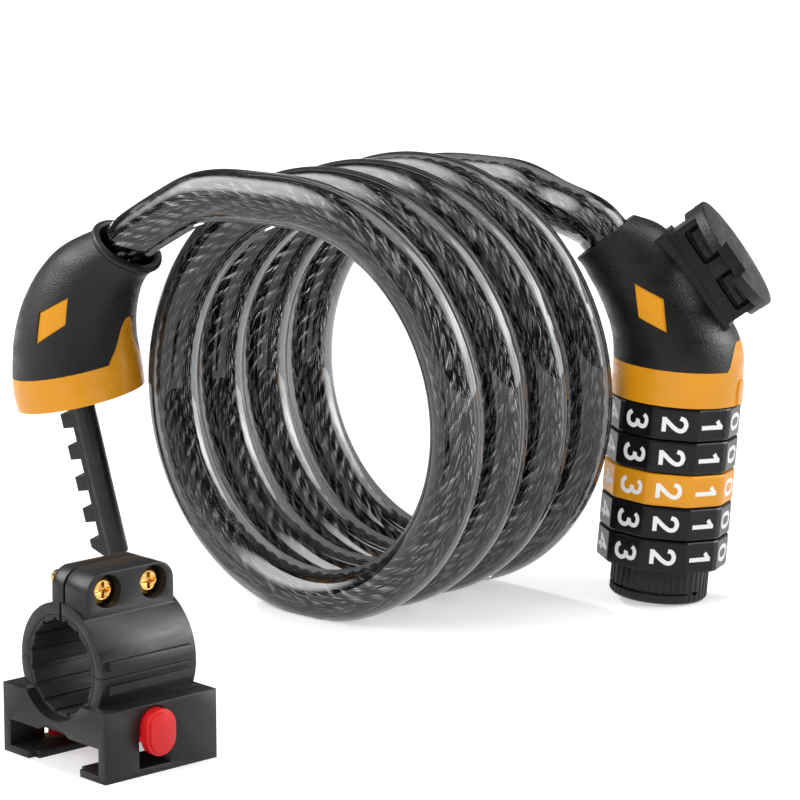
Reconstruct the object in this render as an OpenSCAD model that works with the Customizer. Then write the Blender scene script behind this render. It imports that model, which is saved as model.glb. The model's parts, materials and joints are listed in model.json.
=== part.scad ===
// Self-coiling cable lock with a five-wheel combination head, and its tube bracket.
// Millimetres, +Z up. The coil stands on its edge with its axis along +Y.

/* [Cable] */
// Outside diameter of the clear jacket
cable_d = 12; // [11:0.5:12.5]
// Diameter of the steel wire rope inside the jacket
rope_d = 5.6; // [5:0.1:7]
// Radius of the coil, measured to the middle of the cable
coil_r = 46; // [44:0.5:50]
// Distance from one turn of the coil to the next
coil_pitch = 15.8; // [14:0.1:18]
// How far the last half turn draws in towards the middle
coil_draw_in = 2; // [0:0.5:4]

/* [Dial head] */
// Radius of a number wheel over its corners
wheel_r = 15.1; // [14:0.1:17]
// Distance from the middle of a wheel to each of its ten flats
wheel_flat_r = 14.6; // [13:0.1:14.6]
// Room along the head that each wheel takes
wheel_pitch = 7.8; // [6:0.1:9]
// Radius of the hole through a wheel
wheel_bore_r = 9; // [8:0.1:10]
// Radius of the end knob under its ribs
knob_r = 11.2; // [10:0.1:11.6]
// Height of the end knob
knob_h = 8; // [6:0.5:10]
// Height of the orange collar above the wheels
dial_collar_h = 8.3; // [7:0.1:10]
// Outside radius of the core barrel
barrel_r = 4.4; // [4:0.1:4.8]
// Height of a locking ring inside its wheel
ring_h = 4.6; // [3:0.1:5.5]

/* [Plug head] */
// Radius of the locking rod
rod_r = 2.6; // [2.2:0.1:2.8]
// Length of the rod that stands out of the collar
rod_reach = 39.8; // [36:0.1:44]
// Distance from the rod's middle to the tip of a tooth
tooth_reach = 6; // [5:0.1:6.4]
// Height of a tooth
tooth_h = 3.5; // [3:0.1:4.6]
// Width of a tooth
tooth_w = 3.6; // [2.4:0.1:4]
// Inside radius of the collar, where it goes over the end knob
socket_r = 12.3; // [12.1:0.1:13]
// Height of the plug's orange collar
plug_collar_h = 8; // [6:0.5:10]

/* [Carrier stud] */
// Radius of the stud's disc
disc_r = 14; // [12:0.1:15]
// Thickness of the disc
disc_t = 2.6; // [2.2:0.1:3.2]
// Height of the stud's block under its flange
stud_h = 4.6; // [4:0.1:6]
// Thickness of the flange between the block and the disc
stud_flange_t = 2.4; // [2:0.1:3]
// Width of the notch in the disc's edge
notch_w = 7.8; // [7.8:0.1:10]

/* [Tube bracket] */
// Radius of the tube that the bracket clamps
tube_r = 9.5; // [8:0.1:12]
// Wall of the rubber liner
liner_t = 1.2; // [1:0.1:2]
// Wall of the clamp ring
ring_wall = 2.4; // [2.2:0.1:4]
// Length of the clamp ring along the tube
clamp_w = 24; // [22:0.5:28]
// Width of the bracket's foot
foot_w = 33; // [33:0.5:40]
// Length of the bracket's foot
foot_l = 28.5; // [28.5:0.5:34]
// Height of the foot's cheeks beside the ring
foot_h = 14.4; // [14.4:0.2:18.8]
// Travel of the release button
button_travel = 2.2; // [2:0.1:2.4]

/* [Clearances] */
// Gap between neighbouring wheels, and beside the knob and the collar
wheel_gap = 0.3; // [0.2:0.05:0.5]
// Radial running gap of the rings and the knob on the barrel
running_gap = 0.05; // [0.02:0.01:0.09]
// Gap between pieces that are fixed together
fit_gap = 0.1; // [0.05:0.01:0.2]

/* [Hidden] */
$fn = 48;

// Cable
cable_r = cable_d / 2;
rope_r = rope_d / 2;
jacket_in_r = rope_r + fit_gap;
tail_rope_r = rope_r - 0.2;
turns = 4;
loop_rings = 24;
loop_sides = 6;
tail_sides = 8;
floor_flat = cable_d / 10;
coil_z = coil_r + cable_r - floor_flat;
coil_end_straight = cable_d;
// Where the middle of the two heads and the bracket lies, seen from the coil's middle
row_shift = [-1.54, -44.15];

// Heads: a lean from upright in the direction lean_turn, then a turn about their own axis
lean_turn = 39.5;
dial_at = [52.6, 39.5, 0.8];
dial_lean = 4.4;
dial_turn = 30;
// Turn of the wheels' flats and of the index rib about the dial head's axis
index_turn = -12;
plug_at = [-57.4, -27.4, 5.3];
plug_lean = -12;
plug_turn = 10;
bracket_at = [41, -133.4, 0];
bracket_turn = -8;

// Cable mouths, in each head's own frame: the mouth's middle in the X-Z plane
mouth_lean = 45;
// Depths along each mouth's bore
dial_jacket_in = 9;
dial_ferrule_end = 25;
dial_rope_in = 17;
dial_pin_in = 20.5;
plug_jacket_in = 7;
plug_ferrule_end = 19;
plug_rope_in = 13;
plug_pin_in = 16;
ferrule_r = 5.2;
ferrule_pin_r = 1.25;
plug_bore_r = cable_r + 0.9;
dial_bore_r = cable_r + 0.3;

// Dial head stack, from the bottom of the knob
wheel_count = 5;
wheels_z = knob_h + wheel_gap;
dial_collar_z = wheels_z + wheel_count * wheel_pitch + wheel_gap / 2;
dial_split_z = dial_collar_z + dial_collar_h;
flange_r = 10.9;
flange_h = 6;
core_hole_r = rod_r + 0.3;
key_w = tooth_w + 0.8;
ring_r = wheel_bore_r - fit_gap;
gate_r = tooth_reach + 0.4;

dial_mouth = [-19.6, dial_collar_z + 35.25];
core_screw_l = 13;
index_w = 4;
strip_w = 3;
strip_t = 0.5;

// Plug head
collar_wall = 3.1;
plug_r = socket_r + collar_wall;
plug_mouth = [21.9, rod_reach + 33.55];
plug_pin_l = 16.6;
carrier_r = 7;
carrier_cap = 3;
plug_collar_top = rod_reach + plug_collar_h;
socket_h = knob_h + 1;
rod_root = rod_reach + socket_h;
rod_top = rod_root + 8;
tooth_count = 5;

// Outlines of the two housings, with heights from the collar's lower edge:
// [left x, left z, right x, right z, half depth]
dial_sections = lifted([
    [-wheel_r, 0, wheel_r, 0, wheel_r],
    [-wheel_r - 0.3, 9.55, wheel_r - 0.2, 9.95, wheel_r + 0.1],
    [-16.5, 14.75, 13.1, 15.55, 14.7],
    [-18.2, 18.75, 9.9, 20.15, 13.9],
    [-20.4, 22.75, 4.7, 26.75, 12.6],
    [-22.5, 25.75, -0.7, 33.55, 11.0],
    [-24.1, 28.05, -7.0, 39.05, 9.6],
    [-25.7, 29.65, -13.5, 40.85, 8.7]], dial_collar_z);
plug_sections = lifted([
    [-plug_r, 0, plug_r, 0, plug_r],
    [-plug_r + 0.3, 6.0, plug_r + 0.6, 5.5, plug_r + 0.1],
    [-13.3, 13.3, 16.4, 11.0, 14.8],
    [-11.3, 18.8, 17.7, 16.0, 14.1],
    [-7.5, 25.5, 19.9, 20.5, 12.9],
    [-1.7, 31.9, 22.5, 24.1, 11.3],
    [5.6, 36.6, 25.2, 26.4, 9.7],
    [16.0, 39.4, 27.8, 27.6, 8.4]], rod_reach);
section_sides = 28;
section_steps = 2;

// Carrier stud
stud_at = [3.5, dial_collar_z + 28.75];
stud_lean = 50.3;
stud_l = 24.4;
stud_w = 13;
stud_top = stud_h + stud_flange_t;
window_l = 9;
window_h = 4.3;
window_x = 6.35;
window_depth = 3;
window_corner = 1;
leg_w = 6.4;
lug_w = 7.4;
lug_h = 3.4;
lug_sink = 0.8;
leg_low = 0.8;
skirt_low = 0.4;

// Bracket
bore_r = tube_r + liner_t;
clamp_r = bore_r + ring_wall;
slot_r = disc_r + 0.35;
slot_z = 1.5;
slot_h = stud_flange_t + disc_t + 0.5;
slot_top = slot_z + slot_h;
seat_y = -1.6;
neck_w = stud_w + 0.8;
plate_t = 1.2;
plate_w = 7.8;
latch_w = 7;
latch_l = 2;
slide_gap = 0.15;
button_gap = 0.3;
plate_top = slot_top + plate_t + 2 * slide_gap;
clamp_z = plate_top + 1.2 + bore_r;
flange_top = clamp_z + clamp_r + 6.6;
flange_w = clamp_w - 2;
flange_corner_r = 4;
jaw_seam = 0.3;
left_flange_t = 3.6;
right_flange_t = 7;
screw_y = 5.8;
screw_r = 1.6;
screw_head_r = 2.9;
screw_tail = 9;
screw_z = flange_top - 3.9;
nut_r = 3;
nut_t = 2.4;
button_r = 3.7;
button_rise = 1.1;
button_z = plate_top + 0.3;
button_in = foot_w / 2 - 1;
button_out = foot_w / 2 + button_travel + 0.6;
spring_r = 1.5;
spring_z = button_z + 1.9;
spring_in = button_in - 7;

// Housing outlines and inlay corners raised by a height
function lifted(rows, h) = [for (s = rows) [s[0], s[1] + h, s[2], s[3] + h, s[4]]];
function raised(corners, h) = [for (c = corners) [c[0], c[1] + h]];

function smooth(t) = t <= 0 ? 0 : t >= 1 ? 1 : t * t * (3 - 2 * t);

// A point on a smooth curve through the rows of a list, at place t
function on_curve(rows, t) =
    let (n = len(rows), i = min(floor(t), n - 2), u = t - i,
         a = rows[max(i - 1, 0)], b = rows[i], c = rows[i + 1], d = rows[min(i + 2, n - 1)])
    0.5 * (2 * b + (c - a) * u + (2 * a - 5 * b + 4 * c - d) * u * u
        + (3 * b - a - 3 * c + d) * u * u * u);

// One closed ring of a housing, grown outwards by g
function section_ring(s, g) =
    let (mx = (s[0] + s[2]) / 2, mz = (s[1] + s[3]) / 2, w = norm([s[2] - s[0], s[3] - s[1]]),
         ux = (s[2] - s[0]) / w, uz = (s[3] - s[1]) / w)
    [for (k = [0 : section_sides - 1])
        let (q = 360 * k / section_sides, a = (w / 2 + g) * cos(q))
        [mx + a * ux, -(s[4] + g) * sin(q), mz + a * uz]];

// The housing's outer form through its sections
module housing_form(sections, g = 0) {
    count = (len(sections) - 1) * section_steps;
    rings = [for (i = [0 : count]) section_ring(on_curve(sections, i / section_steps), g)];
    skin(rings);
}

// Closed skin over a list of rings that all have the same number of points
module skin(rings) {
    n = len(rings[0]);
    m = len(rings);
    points = [for (r = rings) each r];
    sides = [for (i = [0 : m - 2], k = [0 : n - 1])
        let (a = i * n + k, b = i * n + (k + 1) % n)
        each [[a, b, b + n], [a, b + n, a + n]]];
    first_cap = [for (k = [1 : n - 2]) [0, k + 1, k]];
    last_cap = [for (k = [1 : n - 2]) [(m - 1) * n, (m - 1) * n + k, (m - 1) * n + k + 1]];
    polyhedron(points = points, faces = concat(sides, first_cap, last_cap), convexity = 8);
}

// Unit vector
function unit(v) = v / norm(v);

// Direction of a route at point i
function heading(p, i) = unit(p[min(i + 1, len(p) - 1)] - p[max(i - 1, 0)]);

// Ring of a tube round a route: corner 0 lies on the side away from the point hub
function tube_ring(p, i, r, sides, hub) =
    let (t = heading(p, i), out = p[i] - hub, a = unit(out - (out * t) * t), b = cross(t, a))
    [for (k = [0 : sides - 1])
        let (q = 360 * k / sides) p[i] + r * (cos(q) * a + sin(q) * b)];

// Solid cable along a route
module solid_tube(p, r, sides, hubs) {
    rings = [for (i = [0 : len(p) - 1]) tube_ring(p, i, r, sides, hubs[i])];
    skin([for (g = rings) [for (k = [0 : sides - 1]) g[sides - 1 - k]]]);
}

// Hollow cable along a route, with flat ring-shaped ends
module hollow_tube(p, r_out, r_in, sides, hubs) {
    m = len(p);
    n = sides;
    outer = [for (i = [0 : m - 1]) each tube_ring(p, i, r_out, sides, hubs[i])];
    inner = [for (i = [0 : m - 1]) each tube_ring(p, i, r_in, sides, hubs[i])];
    o = m * n;
    walls = [for (i = [0 : m - 2], k = [0 : n - 1])
        let (a = i * n + k, b = i * n + (k + 1) % n)
        each [[a, b + n, b], [a, a + n, b + n],
              [o + a, o + b, o + b + n], [o + a, o + b + n, o + a + n]]];
    ends = [for (k = [0 : n - 1])
        let (j = (k + 1) % n, e = (m - 1) * n)
        each [[k, j, o + j], [k, o + j, o + k],
              [e + k, o + e + j, e + j], [e + k, o + e + k, o + e + j]]];
    polyhedron(points = concat(outer, inner), faces = concat(walls, ends), convexity = 12);
}

// Middle of the cable at turn t of the coil, counted from the first top
function coil_turn_r(t) = coil_r - coil_draw_in * smooth((t - turns + 0.5) * 2);
function coil_point(t) =
    let (r = coil_turn_r(t))
    [r * sin(360 * t), coil_pitch * (t - turns / 2), coil_z + r * cos(360 * t)];
coil_top_slope = coil_pitch / (2 * PI * coil_r);
coil_lead_in = unit([1, coil_top_slope, 0]);
coil_route = concat(
    [coil_point(0) - coil_end_straight * coil_lead_in,
     coil_point(0) - coil_end_straight / 2 * coil_lead_in],
    [for (i = [0 : turns * loop_rings]) coil_point(i / loop_rings)],
    [coil_point(turns) + coil_end_straight / 2 * coil_lead_in,
     coil_point(turns) + coil_end_straight * coil_lead_in]);
coil_hubs = [for (p = coil_route) [0, p[1], coil_z]];
coil_start = coil_route[0];
coil_finish = coil_route[len(coil_route) - 1];

// Least gap between the cable's turns, from the points along its middle
body_points = [for (i = [0 : turns * loop_rings]) coil_point(i / loop_rings)];
least_gap = min([for (i = [0 : len(body_points) - 1], j = [i + loop_rings / 2 : 1 : len(body_points) - 1])
    norm(body_points[i] - body_points[j])]) - cable_d;
echo(str("coil: least gap between turns ", least_gap, " mm"));

// Turn a point of a head's own frame into the coil's frame
function turn_z(p, a) = [p[0] * cos(a) - p[1] * sin(a), p[0] * sin(a) + p[1] * cos(a), p[2]];
function turn_y(p, a) = [p[0] * cos(a) + p[2] * sin(a), p[1], p[2] * cos(a) - p[0] * sin(a)];
function place(p, at, lean, turn) =
    at + turn_z(turn_y(turn_z(p, turn - lean_turn), lean), lean_turn);
function in_dial(p) = place(p, dial_at, dial_lean, dial_turn);
function in_plug(p) = place(p, plug_at, plug_lean, plug_turn);
function down_bore(mouth, side, s) =
    [mouth[0] - side * s * sin(mouth_lean), 0, mouth[1] - s * cos(mouth_lean)];

// Free ends of the cable: from the coil's straight ends to the two mouths
plug_tail = concat([coil_start, coil_start - 3 * coil_lead_in],
    [[-21, -32.7, 96.2], [-28.4, -32.9, 94.0]],
    [for (s = [-3.5 : 3.5 : plug_jacket_in]) in_plug(down_bore(plug_mouth, 1, s))]);
dial_tail = concat([coil_finish, coil_finish + 3 * coil_lead_in],
    [[20.4, 32.6, 93.4], [26.6, 32.9, 91.0]],
    [for (s = [-4.5 : 4.5 : dial_jacket_in]) in_dial(down_bore(dial_mouth, -1, s))]);
plug_rope = concat(plug_tail, [in_plug(down_bore(plug_mouth, 1, plug_rope_in))]);
dial_rope = concat(dial_tail, [in_dial(down_bore(dial_mouth, -1, dial_rope_in))]);
function tail_hubs(p) = [for (q = p) [0, q[1], coil_z]];

module in_row() { translate([-row_shift[0], -row_shift[1], 0]) children(); }
module at_dial() {
    in_row() translate(dial_at) rotate([0, dial_lean, lean_turn])
        rotate([0, 0, dial_turn - lean_turn]) children();
}
module at_plug() {
    in_row() translate(plug_at) rotate([0, plug_lean, lean_turn])
        rotate([0, 0, plug_turn - lean_turn]) children();
}
module at_bracket() { in_row() translate(bracket_at) rotate([0, 0, bracket_turn]) children(); }
// Frame of a cable mouth: +Z runs into the housing along the cable
module down_mouth(mouth, side) {
    translate([mouth[0], 0, mouth[1]]) rotate([0, 180 + side * mouth_lean, 0]) children();
}
module at_stud() { translate([stud_at[0], 0, stud_at[1]]) rotate([0, stud_lean, 0]) children(); }
// Cylinder along Y through the X-Z point p
module cross_pin(p, r, l) { translate([p[0], l / 2, p[2]]) rotate([90, 0, 0]) cylinder(r = r, h = l); }

// ---- Cable ----

module coil_floor_cut() {
    difference() {
        children();
        translate([-coil_r, -coil_pitch * turns, -cable_d])
            cube([2 * coil_r, 2 * coil_pitch * turns, cable_d]);
    }
}

module cable_jacket_coil() {
    color([0.62, 0.64, 0.66, 0.6]) in_row() coil_floor_cut()
        hollow_tube(coil_route, cable_r, jacket_in_r, loop_sides, coil_hubs);
}

module wire_rope_coil() {
    color([0.22, 0.22, 0.23]) in_row() solid_tube(coil_route, rope_r, loop_sides, coil_hubs);
}

module cable_jacket_plug_end() {
    color([0.62, 0.64, 0.66, 0.6]) in_row()
        hollow_tube(plug_tail, cable_r, jacket_in_r, tail_sides, tail_hubs(plug_tail));
}

module wire_rope_plug_end() {
    color([0.22, 0.22, 0.23]) in_row()
        solid_tube(plug_rope, tail_rope_r, tail_sides, tail_hubs(plug_rope));
}

module cable_jacket_dial_end() {
    color([0.62, 0.64, 0.66, 0.6]) in_row()
        hollow_tube(dial_tail, cable_r, jacket_in_r, tail_sides, tail_hubs(dial_tail));
}

module wire_rope_dial_end() {
    color([0.22, 0.22, 0.23]) in_row()
        solid_tube(dial_rope, tail_rope_r, tail_sides, tail_hubs(dial_rope));
}

// ---- Both heads ----

// Bores for the cable's jacket and its crimped ferrule
module cable_bores(bore_r, jacket_in, ferrule_end) {
    translate([0, 0, -4]) cylinder(r = bore_r, h = jacket_in + 4.3);
    cylinder(r = ferrule_r + fit_gap, h = ferrule_end + fit_gap);
}

// Crimped sleeve, solid beyond the end of the rope, with a hole for its cross pin
module ferrule(jacket_in, rope_in, ferrule_end, pin_in) {
    difference() {
        translate([0, 0, jacket_in + 0.5]) cylinder(r = ferrule_r, h = ferrule_end - jacket_in - 0.5);
        translate([0, 0, jacket_in]) cylinder(r = rope_r + fit_gap, h = rope_in + 0.2 - jacket_in);
        translate([0, 0, pin_in]) rotate([90, 0, 0])
            cylinder(r = ferrule_pin_r + fit_gap / 2, h = 4 * ferrule_r, center = true);
    }
}

// Rhombus outline in the X-Z plane, turned into a prism along Y
module rhombus_prism(corners, grow) {
    rotate([90, 0, 0]) linear_extrude(height = 60, center = true)
        offset(delta = grow) polygon(corners);
}

// ---- Plug head ----

plug_inlay_corners = raised([[11.2, 26], [3.1, 23.4], [1.2, 16.4], [9.4, 19.8]], rod_reach);
plug_inlay_floor = 9.6;
inlay_sink = 0.5;

// Space of the orange collar: a band with a tongue that rises on the mouth's side
module plug_collar_space(grow) {
    translate([-30, -30, rod_reach - 1]) cube([60, 60, plug_collar_h + 1 + grow]);
    translate([8 - grow, 0, 0]) rotate([90, 0, 90]) linear_extrude(height = 40)
        translate([0, plug_collar_top]) offset(delta = grow)
            polygon([[-6.9, -2], [-6.2, 0.6], [-4.5, 2.6], [-3.2, 5], [-2.3, 7.6], [-1.1, 9.6],
                     [1.1, 9.6], [2.3, 7.6], [3.2, 5], [4.5, 2.6], [6.2, 0.6], [6.9, -2]]);
}

module plug_housing() {
    color([0.09, 0.09, 0.1]) at_plug() difference() {
        housing_form(plug_sections);
        plug_collar_space(fit_gap / 2);
        translate([0, 0, rod_reach - 1]) cylinder(r = socket_r, h = socket_h + 4.2);
        cylinder(r = carrier_r + fit_gap, h = rod_top + carrier_cap + 0.2);
        down_mouth(plug_mouth, 1) cable_bores(plug_bore_r, plug_jacket_in, plug_ferrule_end);
        cross_pin(down_bore(plug_mouth, 1, plug_pin_in), ferrule_pin_r + fit_gap / 2, plug_pin_l + 0.4);
        difference() {
            rhombus_prism(plug_inlay_corners, fit_gap);
            cube([200, 2 * plug_inlay_floor, 200], center = true);
        }
    }
}

module plug_collar() {
    color([0.93, 0.6, 0.13]) at_plug() difference() {
        intersection() {
            housing_form(plug_sections);
            plug_collar_space(-fit_gap / 2);
        }
        translate([0, 0, rod_reach - 1]) cylinder(r = socket_r, h = socket_h + 4.2);
        down_mouth(plug_mouth, 1) cable_bores(plug_bore_r, plug_jacket_in, plug_ferrule_end);
    }
}

// Rolled lip round the cable's mouth
module plug_mouth_ring() {
    color([0.11, 0.11, 0.12]) at_plug() down_mouth(plug_mouth, 1)
        rotate_extrude() polygon([[plug_bore_r, 0], [plug_bore_r, -1.2], [plug_bore_r + 0.6, -1.9],
            [plug_bore_r + 1.3, -1.9], [plug_bore_r + 2, -1.2], [plug_bore_r + 2, -0.5],
            [plug_bore_r + 1.4, -fit_gap], [plug_bore_r, -fit_gap]]);
}

module plug_inlays() {
    color([0.93, 0.62, 0.16]) at_plug() intersection() {
        housing_form(plug_sections, -inlay_sink);
        difference() {
            rhombus_prism(plug_inlay_corners, 0);
            cube([200, 2 * plug_inlay_floor + 2 * fit_gap, 200], center = true);
        }
    }
}

module plug_ferrule() {
    color([0.72, 0.7, 0.66]) at_plug() down_mouth(plug_mouth, 1)
        ferrule(plug_jacket_in, plug_rope_in, plug_ferrule_end, plug_pin_in);
}

module plug_ferrule_pin() {
    color([0.7, 0.7, 0.72]) at_plug()
        cross_pin(down_bore(plug_mouth, 1, plug_pin_in), ferrule_pin_r, plug_pin_l);
}

// Cast insert that closes the socket and holds the rod
module rod_carrier() {
    color([0.55, 0.55, 0.57]) at_plug() difference() {
        union() {
            translate([0, 0, rod_root]) cylinder(r = socket_r - fit_gap, h = carrier_cap);
            translate([0, 0, rod_root]) cylinder(r = carrier_r, h = rod_top + carrier_cap - rod_root);
        }
        translate([0, 0, rod_root - 1]) cylinder(r = rod_r + running_gap, h = rod_top + 1.1 - rod_root);
        cross_pin([0, 0, rod_top - 3], 1 + running_gap, 20);
    }
}

// Round rod with square teeth on one side; the last tooth is a wedge
module locking_rod() {
    tooth_step = wheel_pitch;
    color([0.12, 0.12, 0.13]) at_plug() difference() {
        union() {
            translate([0, 0, 1]) cylinder(r = rod_r, h = rod_top - 1);
            cylinder(r1 = rod_r - 1, r2 = rod_r, h = 1.01);
            for (i = [1 : tooth_count - 1])
                translate([-tooth_reach, -tooth_w / 2, 1.4 + i * tooth_step])
                    cube([tooth_reach, tooth_w, tooth_h]);
            rotate([90, 0, 0]) linear_extrude(height = tooth_w, center = true)
                polygon([[0, 0.4], [-rod_r - 0.4, 0.6], [-tooth_reach, 2.9],
                         [-tooth_reach, 1.4 + tooth_h], [0, 1.4 + tooth_h]]);
            translate([-rod_r - 0.5, -tooth_w / 2, 2]) cube([rod_r, tooth_w, rod_root - 4]);
        }
        cross_pin([0, 0, rod_top - 3], 1 + running_gap, 20);
    }
}

module rod_dowel() {
    color([0.7, 0.7, 0.72]) at_plug() cross_pin([0, 0, rod_top - 3], 1, 13.6);
}

// ---- Dial head ----

dial_inlay_corners = raised([[-3.9, 24.2], [-10.9, 27], [-9.2, 19.5], [-2.35, 16.95]], dial_collar_z);
dial_inlay_floor = 9.4;

// Space of the orange collar: a band with a tongue that rises on the outer side
module dial_collar_space(grow) {
    translate([-30, -30, dial_collar_z - 1]) cube([60, 60, dial_collar_h + 1 + grow]);
    rotate([90, 0, 0]) linear_extrude(height = 26, center = true)
        translate([0, dial_split_z]) offset(delta = grow)
            polygon([[11.8, -2], [12, 0.1], [12.35, 1], [12.6, 3], [12.75, 5.2], [12.85, 6.4],
                     [30, 6.4], [30, -2]]);
}

module core_screw_places() { for (s = [-1, 1]) translate([0, s * (barrel_r + 3), 0]) children(); }

module dial_housing() {
    color([0.09, 0.09, 0.1]) at_dial() difference() {
        housing_form(dial_sections);
        dial_collar_space(fit_gap / 2);
        translate([0, 0, dial_collar_z - 1])
            cylinder(r = flange_r + fit_gap, h = flange_h + 1 + wheel_gap);
        cylinder(r = barrel_r + fit_gap, h = dial_split_z + 0.2);
        core_screw_places() translate([0, 0, dial_collar_z]) cylinder(r = 1.3, h = core_screw_l + 2);
        down_mouth(dial_mouth, -1) cable_bores(dial_bore_r, dial_jacket_in, dial_ferrule_end);
        cross_pin(down_bore(dial_mouth, -1, dial_pin_in), ferrule_pin_r + fit_gap / 2, 60);
        difference() {
            rhombus_prism(dial_inlay_corners, fit_gap);
            cube([200, 2 * dial_inlay_floor, 200], center = true);
        }
    }
}

module dial_collar() {
    color([0.93, 0.6, 0.13]) at_dial() difference() {
        union() {
            intersection() {
                housing_form(dial_sections);
                dial_collar_space(-fit_gap / 2);
            }
            intersection() {
                rotate([0, 0, index_turn]) translate([wheel_r - 1, -index_w / 2, dial_collar_z])
                    cube([2, index_w, dial_collar_h - 2.4]);
                translate([0, 0, dial_collar_z])
                    cylinder(r = wheel_r + 0.4, h = dial_collar_h);
            }
        }
        translate([0, 0, dial_collar_z - 1])
            cylinder(r = flange_r + fit_gap, h = flange_h + 1 + wheel_gap);
        translate([0, 0, dial_collar_z]) cylinder(r = 9.4, h = 30);
        down_mouth(dial_mouth, -1) cable_bores(dial_bore_r, dial_jacket_in, dial_ferrule_end);
    }
}

module dial_inlays() {
    color([0.93, 0.62, 0.16]) at_dial() intersection() {
        housing_form(dial_sections, -inlay_sink);
        difference() {
            rhombus_prism(dial_inlay_corners, 0);
            cube([200, 2 * dial_inlay_floor + 2 * fit_gap, 200], center = true);
        }
    }
}

module dial_ferrule() {
    color([0.72, 0.7, 0.66]) at_dial() down_mouth(dial_mouth, -1)
        ferrule(dial_jacket_in, dial_rope_in, dial_ferrule_end, dial_pin_in);
}

module dial_ferrule_pin() {
    color([0.7, 0.7, 0.72]) at_dial()
        cross_pin(down_bore(dial_mouth, -1, dial_pin_in), ferrule_pin_r, 2 * dial_inlay_floor);
}

// Fixed tube on which the rings turn, with a key slot for the rod's teeth
module core_barrel() {
    barrel_top = dial_split_z;
    color([0.6, 0.6, 0.62]) at_dial() difference() {
        union() {
            translate([0, 0, 0.6]) cylinder(r = barrel_r, h = barrel_top - 0.6);
            translate([0, 0, dial_collar_z + wheel_gap]) cylinder(r = flange_r, h = flange_h);
        }
        translate([0, 0, -1]) cylinder(r = core_hole_r, h = rod_root + 4);
        translate([-2 * barrel_r, -key_w / 2, -1]) cube([2 * barrel_r, key_w, dial_collar_z + 0.8]);
        translate([barrel_r - strip_t - 0.3, -strip_w / 2 - 0.2, wheels_z])
            cube([2, strip_w + 0.4, wheel_count * wheel_pitch]);
        translate([0, 0, 1.2]) difference() {
            cylinder(r = barrel_r + 1, h = 0.9);
            cylinder(r = barrel_r - 0.5, h = 0.9);
        }
        core_screw_places() {
            translate([0, 0, dial_collar_z]) cylinder(r = 1.35, h = 20);
            translate([0, 0, dial_collar_z]) cylinder(r = 2.3, h = 2.2);
        }
    }
}

module core_screws() {
    color([0.7, 0.7, 0.72]) at_dial() core_screw_places() {
        translate([0, 0, dial_collar_z + 0.7]) cylinder(r = 2.2, h = 1.45);
        translate([0, 0, dial_collar_z + 0.7]) cylinder(r = 1.25, h = core_screw_l);
    }
}

// Leaf spring along the barrel that clicks each ring into its ten places
module detent_strip() {
    color([0.75, 0.75, 0.77]) at_dial()
        translate([barrel_r - strip_t - 0.3, -strip_w / 2, wheels_z + 0.3])
            cube([strip_t, strip_w, wheel_count * wheel_pitch - 0.6]);
}

function wheel_bottom(i) = wheels_z + (wheel_count - i) * wheel_pitch + wheel_gap / 2;

// Wheel i, counted down from the collar
module number_wheel(i, tint) {
    h = wheel_pitch - wheel_gap;
    edge = 0.5;
    color(tint) at_dial() translate([0, 0, wheel_bottom(i)]) difference() {
        intersection() {
            rotate_extrude($fn = 80) polygon([[wheel_bore_r, 0], [wheel_r - edge, 0], [wheel_r, edge],
                [wheel_r, h - edge], [wheel_r - edge, h], [wheel_bore_r, h]]);
            translate([0, 0, -1]) rotate([0, 0, 18 + index_turn])
                cylinder(r = wheel_flat_r / cos(18), h = h + 2, $fn = 10);
        }
        translate([0, -1.1, -1]) cube([wheel_bore_r + 1.3, 2.2, h + 2]);
    }
}

// Locking ring i, keyed into its wheel, with a gate for the rod's teeth
module lock_ring(i) {
    h = ring_h;
    color([0.72, 0.6, 0.35]) at_dial()
        translate([0, 0, wheel_bottom(i) + (wheel_pitch - wheel_gap - h) / 2]) difference() {
            union() {
                cylinder(r = ring_r, h = h);
                translate([0, -1, 0]) cube([wheel_bore_r + 1.2, 2, h]);
            }
            translate([0, 0, -1]) cylinder(r = barrel_r + running_gap, h = h + 2);
            translate([-gate_r, -key_w / 2, -1]) cube([gate_r, key_w, h + 2]);
        }
}

module number_wheel_1() { number_wheel(1, [0.08, 0.08, 0.09]); }
module number_wheel_2() { number_wheel(2, [0.08, 0.08, 0.09]); }
module number_wheel_3() { number_wheel(3, [0.93, 0.6, 0.13]); }
module number_wheel_4() { number_wheel(4, [0.08, 0.08, 0.09]); }
module number_wheel_5() { number_wheel(5, [0.08, 0.08, 0.09]); }
module lock_ring_1() { lock_ring(1); }
module lock_ring_2() { lock_ring(2); }
module lock_ring_3() { lock_ring(3); }
module lock_ring_4() { lock_ring(4); }
module lock_ring_5() { lock_ring(5); }

// Ribbed knob that turns a quarter to let the code be set, with a slit part of the way round
module end_knob() {
    ribs = 42;
    slit_z = 2.2;
    slit_ends = [-31.5, 108.5];
    color([0.1, 0.1, 0.11]) at_dial() difference() {
        union() {
            rotate_extrude($fn = 80) polygon([[0, 0], [knob_r - 0.8, 0], [knob_r, 0.8],
                [knob_r, knob_h], [0, knob_h]]);
            for (i = [0 : ribs - 1]) rotate([0, 0, 360 * i / ribs])
                translate([knob_r - 0.1, 0, 0.8]) cylinder(r = 0.35, h = knob_h - 1.1, $fn = 12);
        }
        translate([0, 0, -1]) cylinder(r = barrel_r + running_gap, h = knob_h + 2);
        translate([0, 0, -1]) cylinder(r = 7.2, h = 3.4);
        translate([0, 0, slit_z]) difference() {
            cylinder(r = knob_r + 2, h = 0.7);
            translate([0, 0, -1]) cylinder(r = knob_r - 0.8, h = 3);
            translate([0, 0, -1]) linear_extrude(height = 3)
                polygon([[0, 0], for (k = [0 : 4])
                    let (a = slit_ends[0] + k * (slit_ends[1] - slit_ends[0]) / 4)
                    2 * knob_r * [cos(a), sin(a)]]);
        }
    }
}

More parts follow.
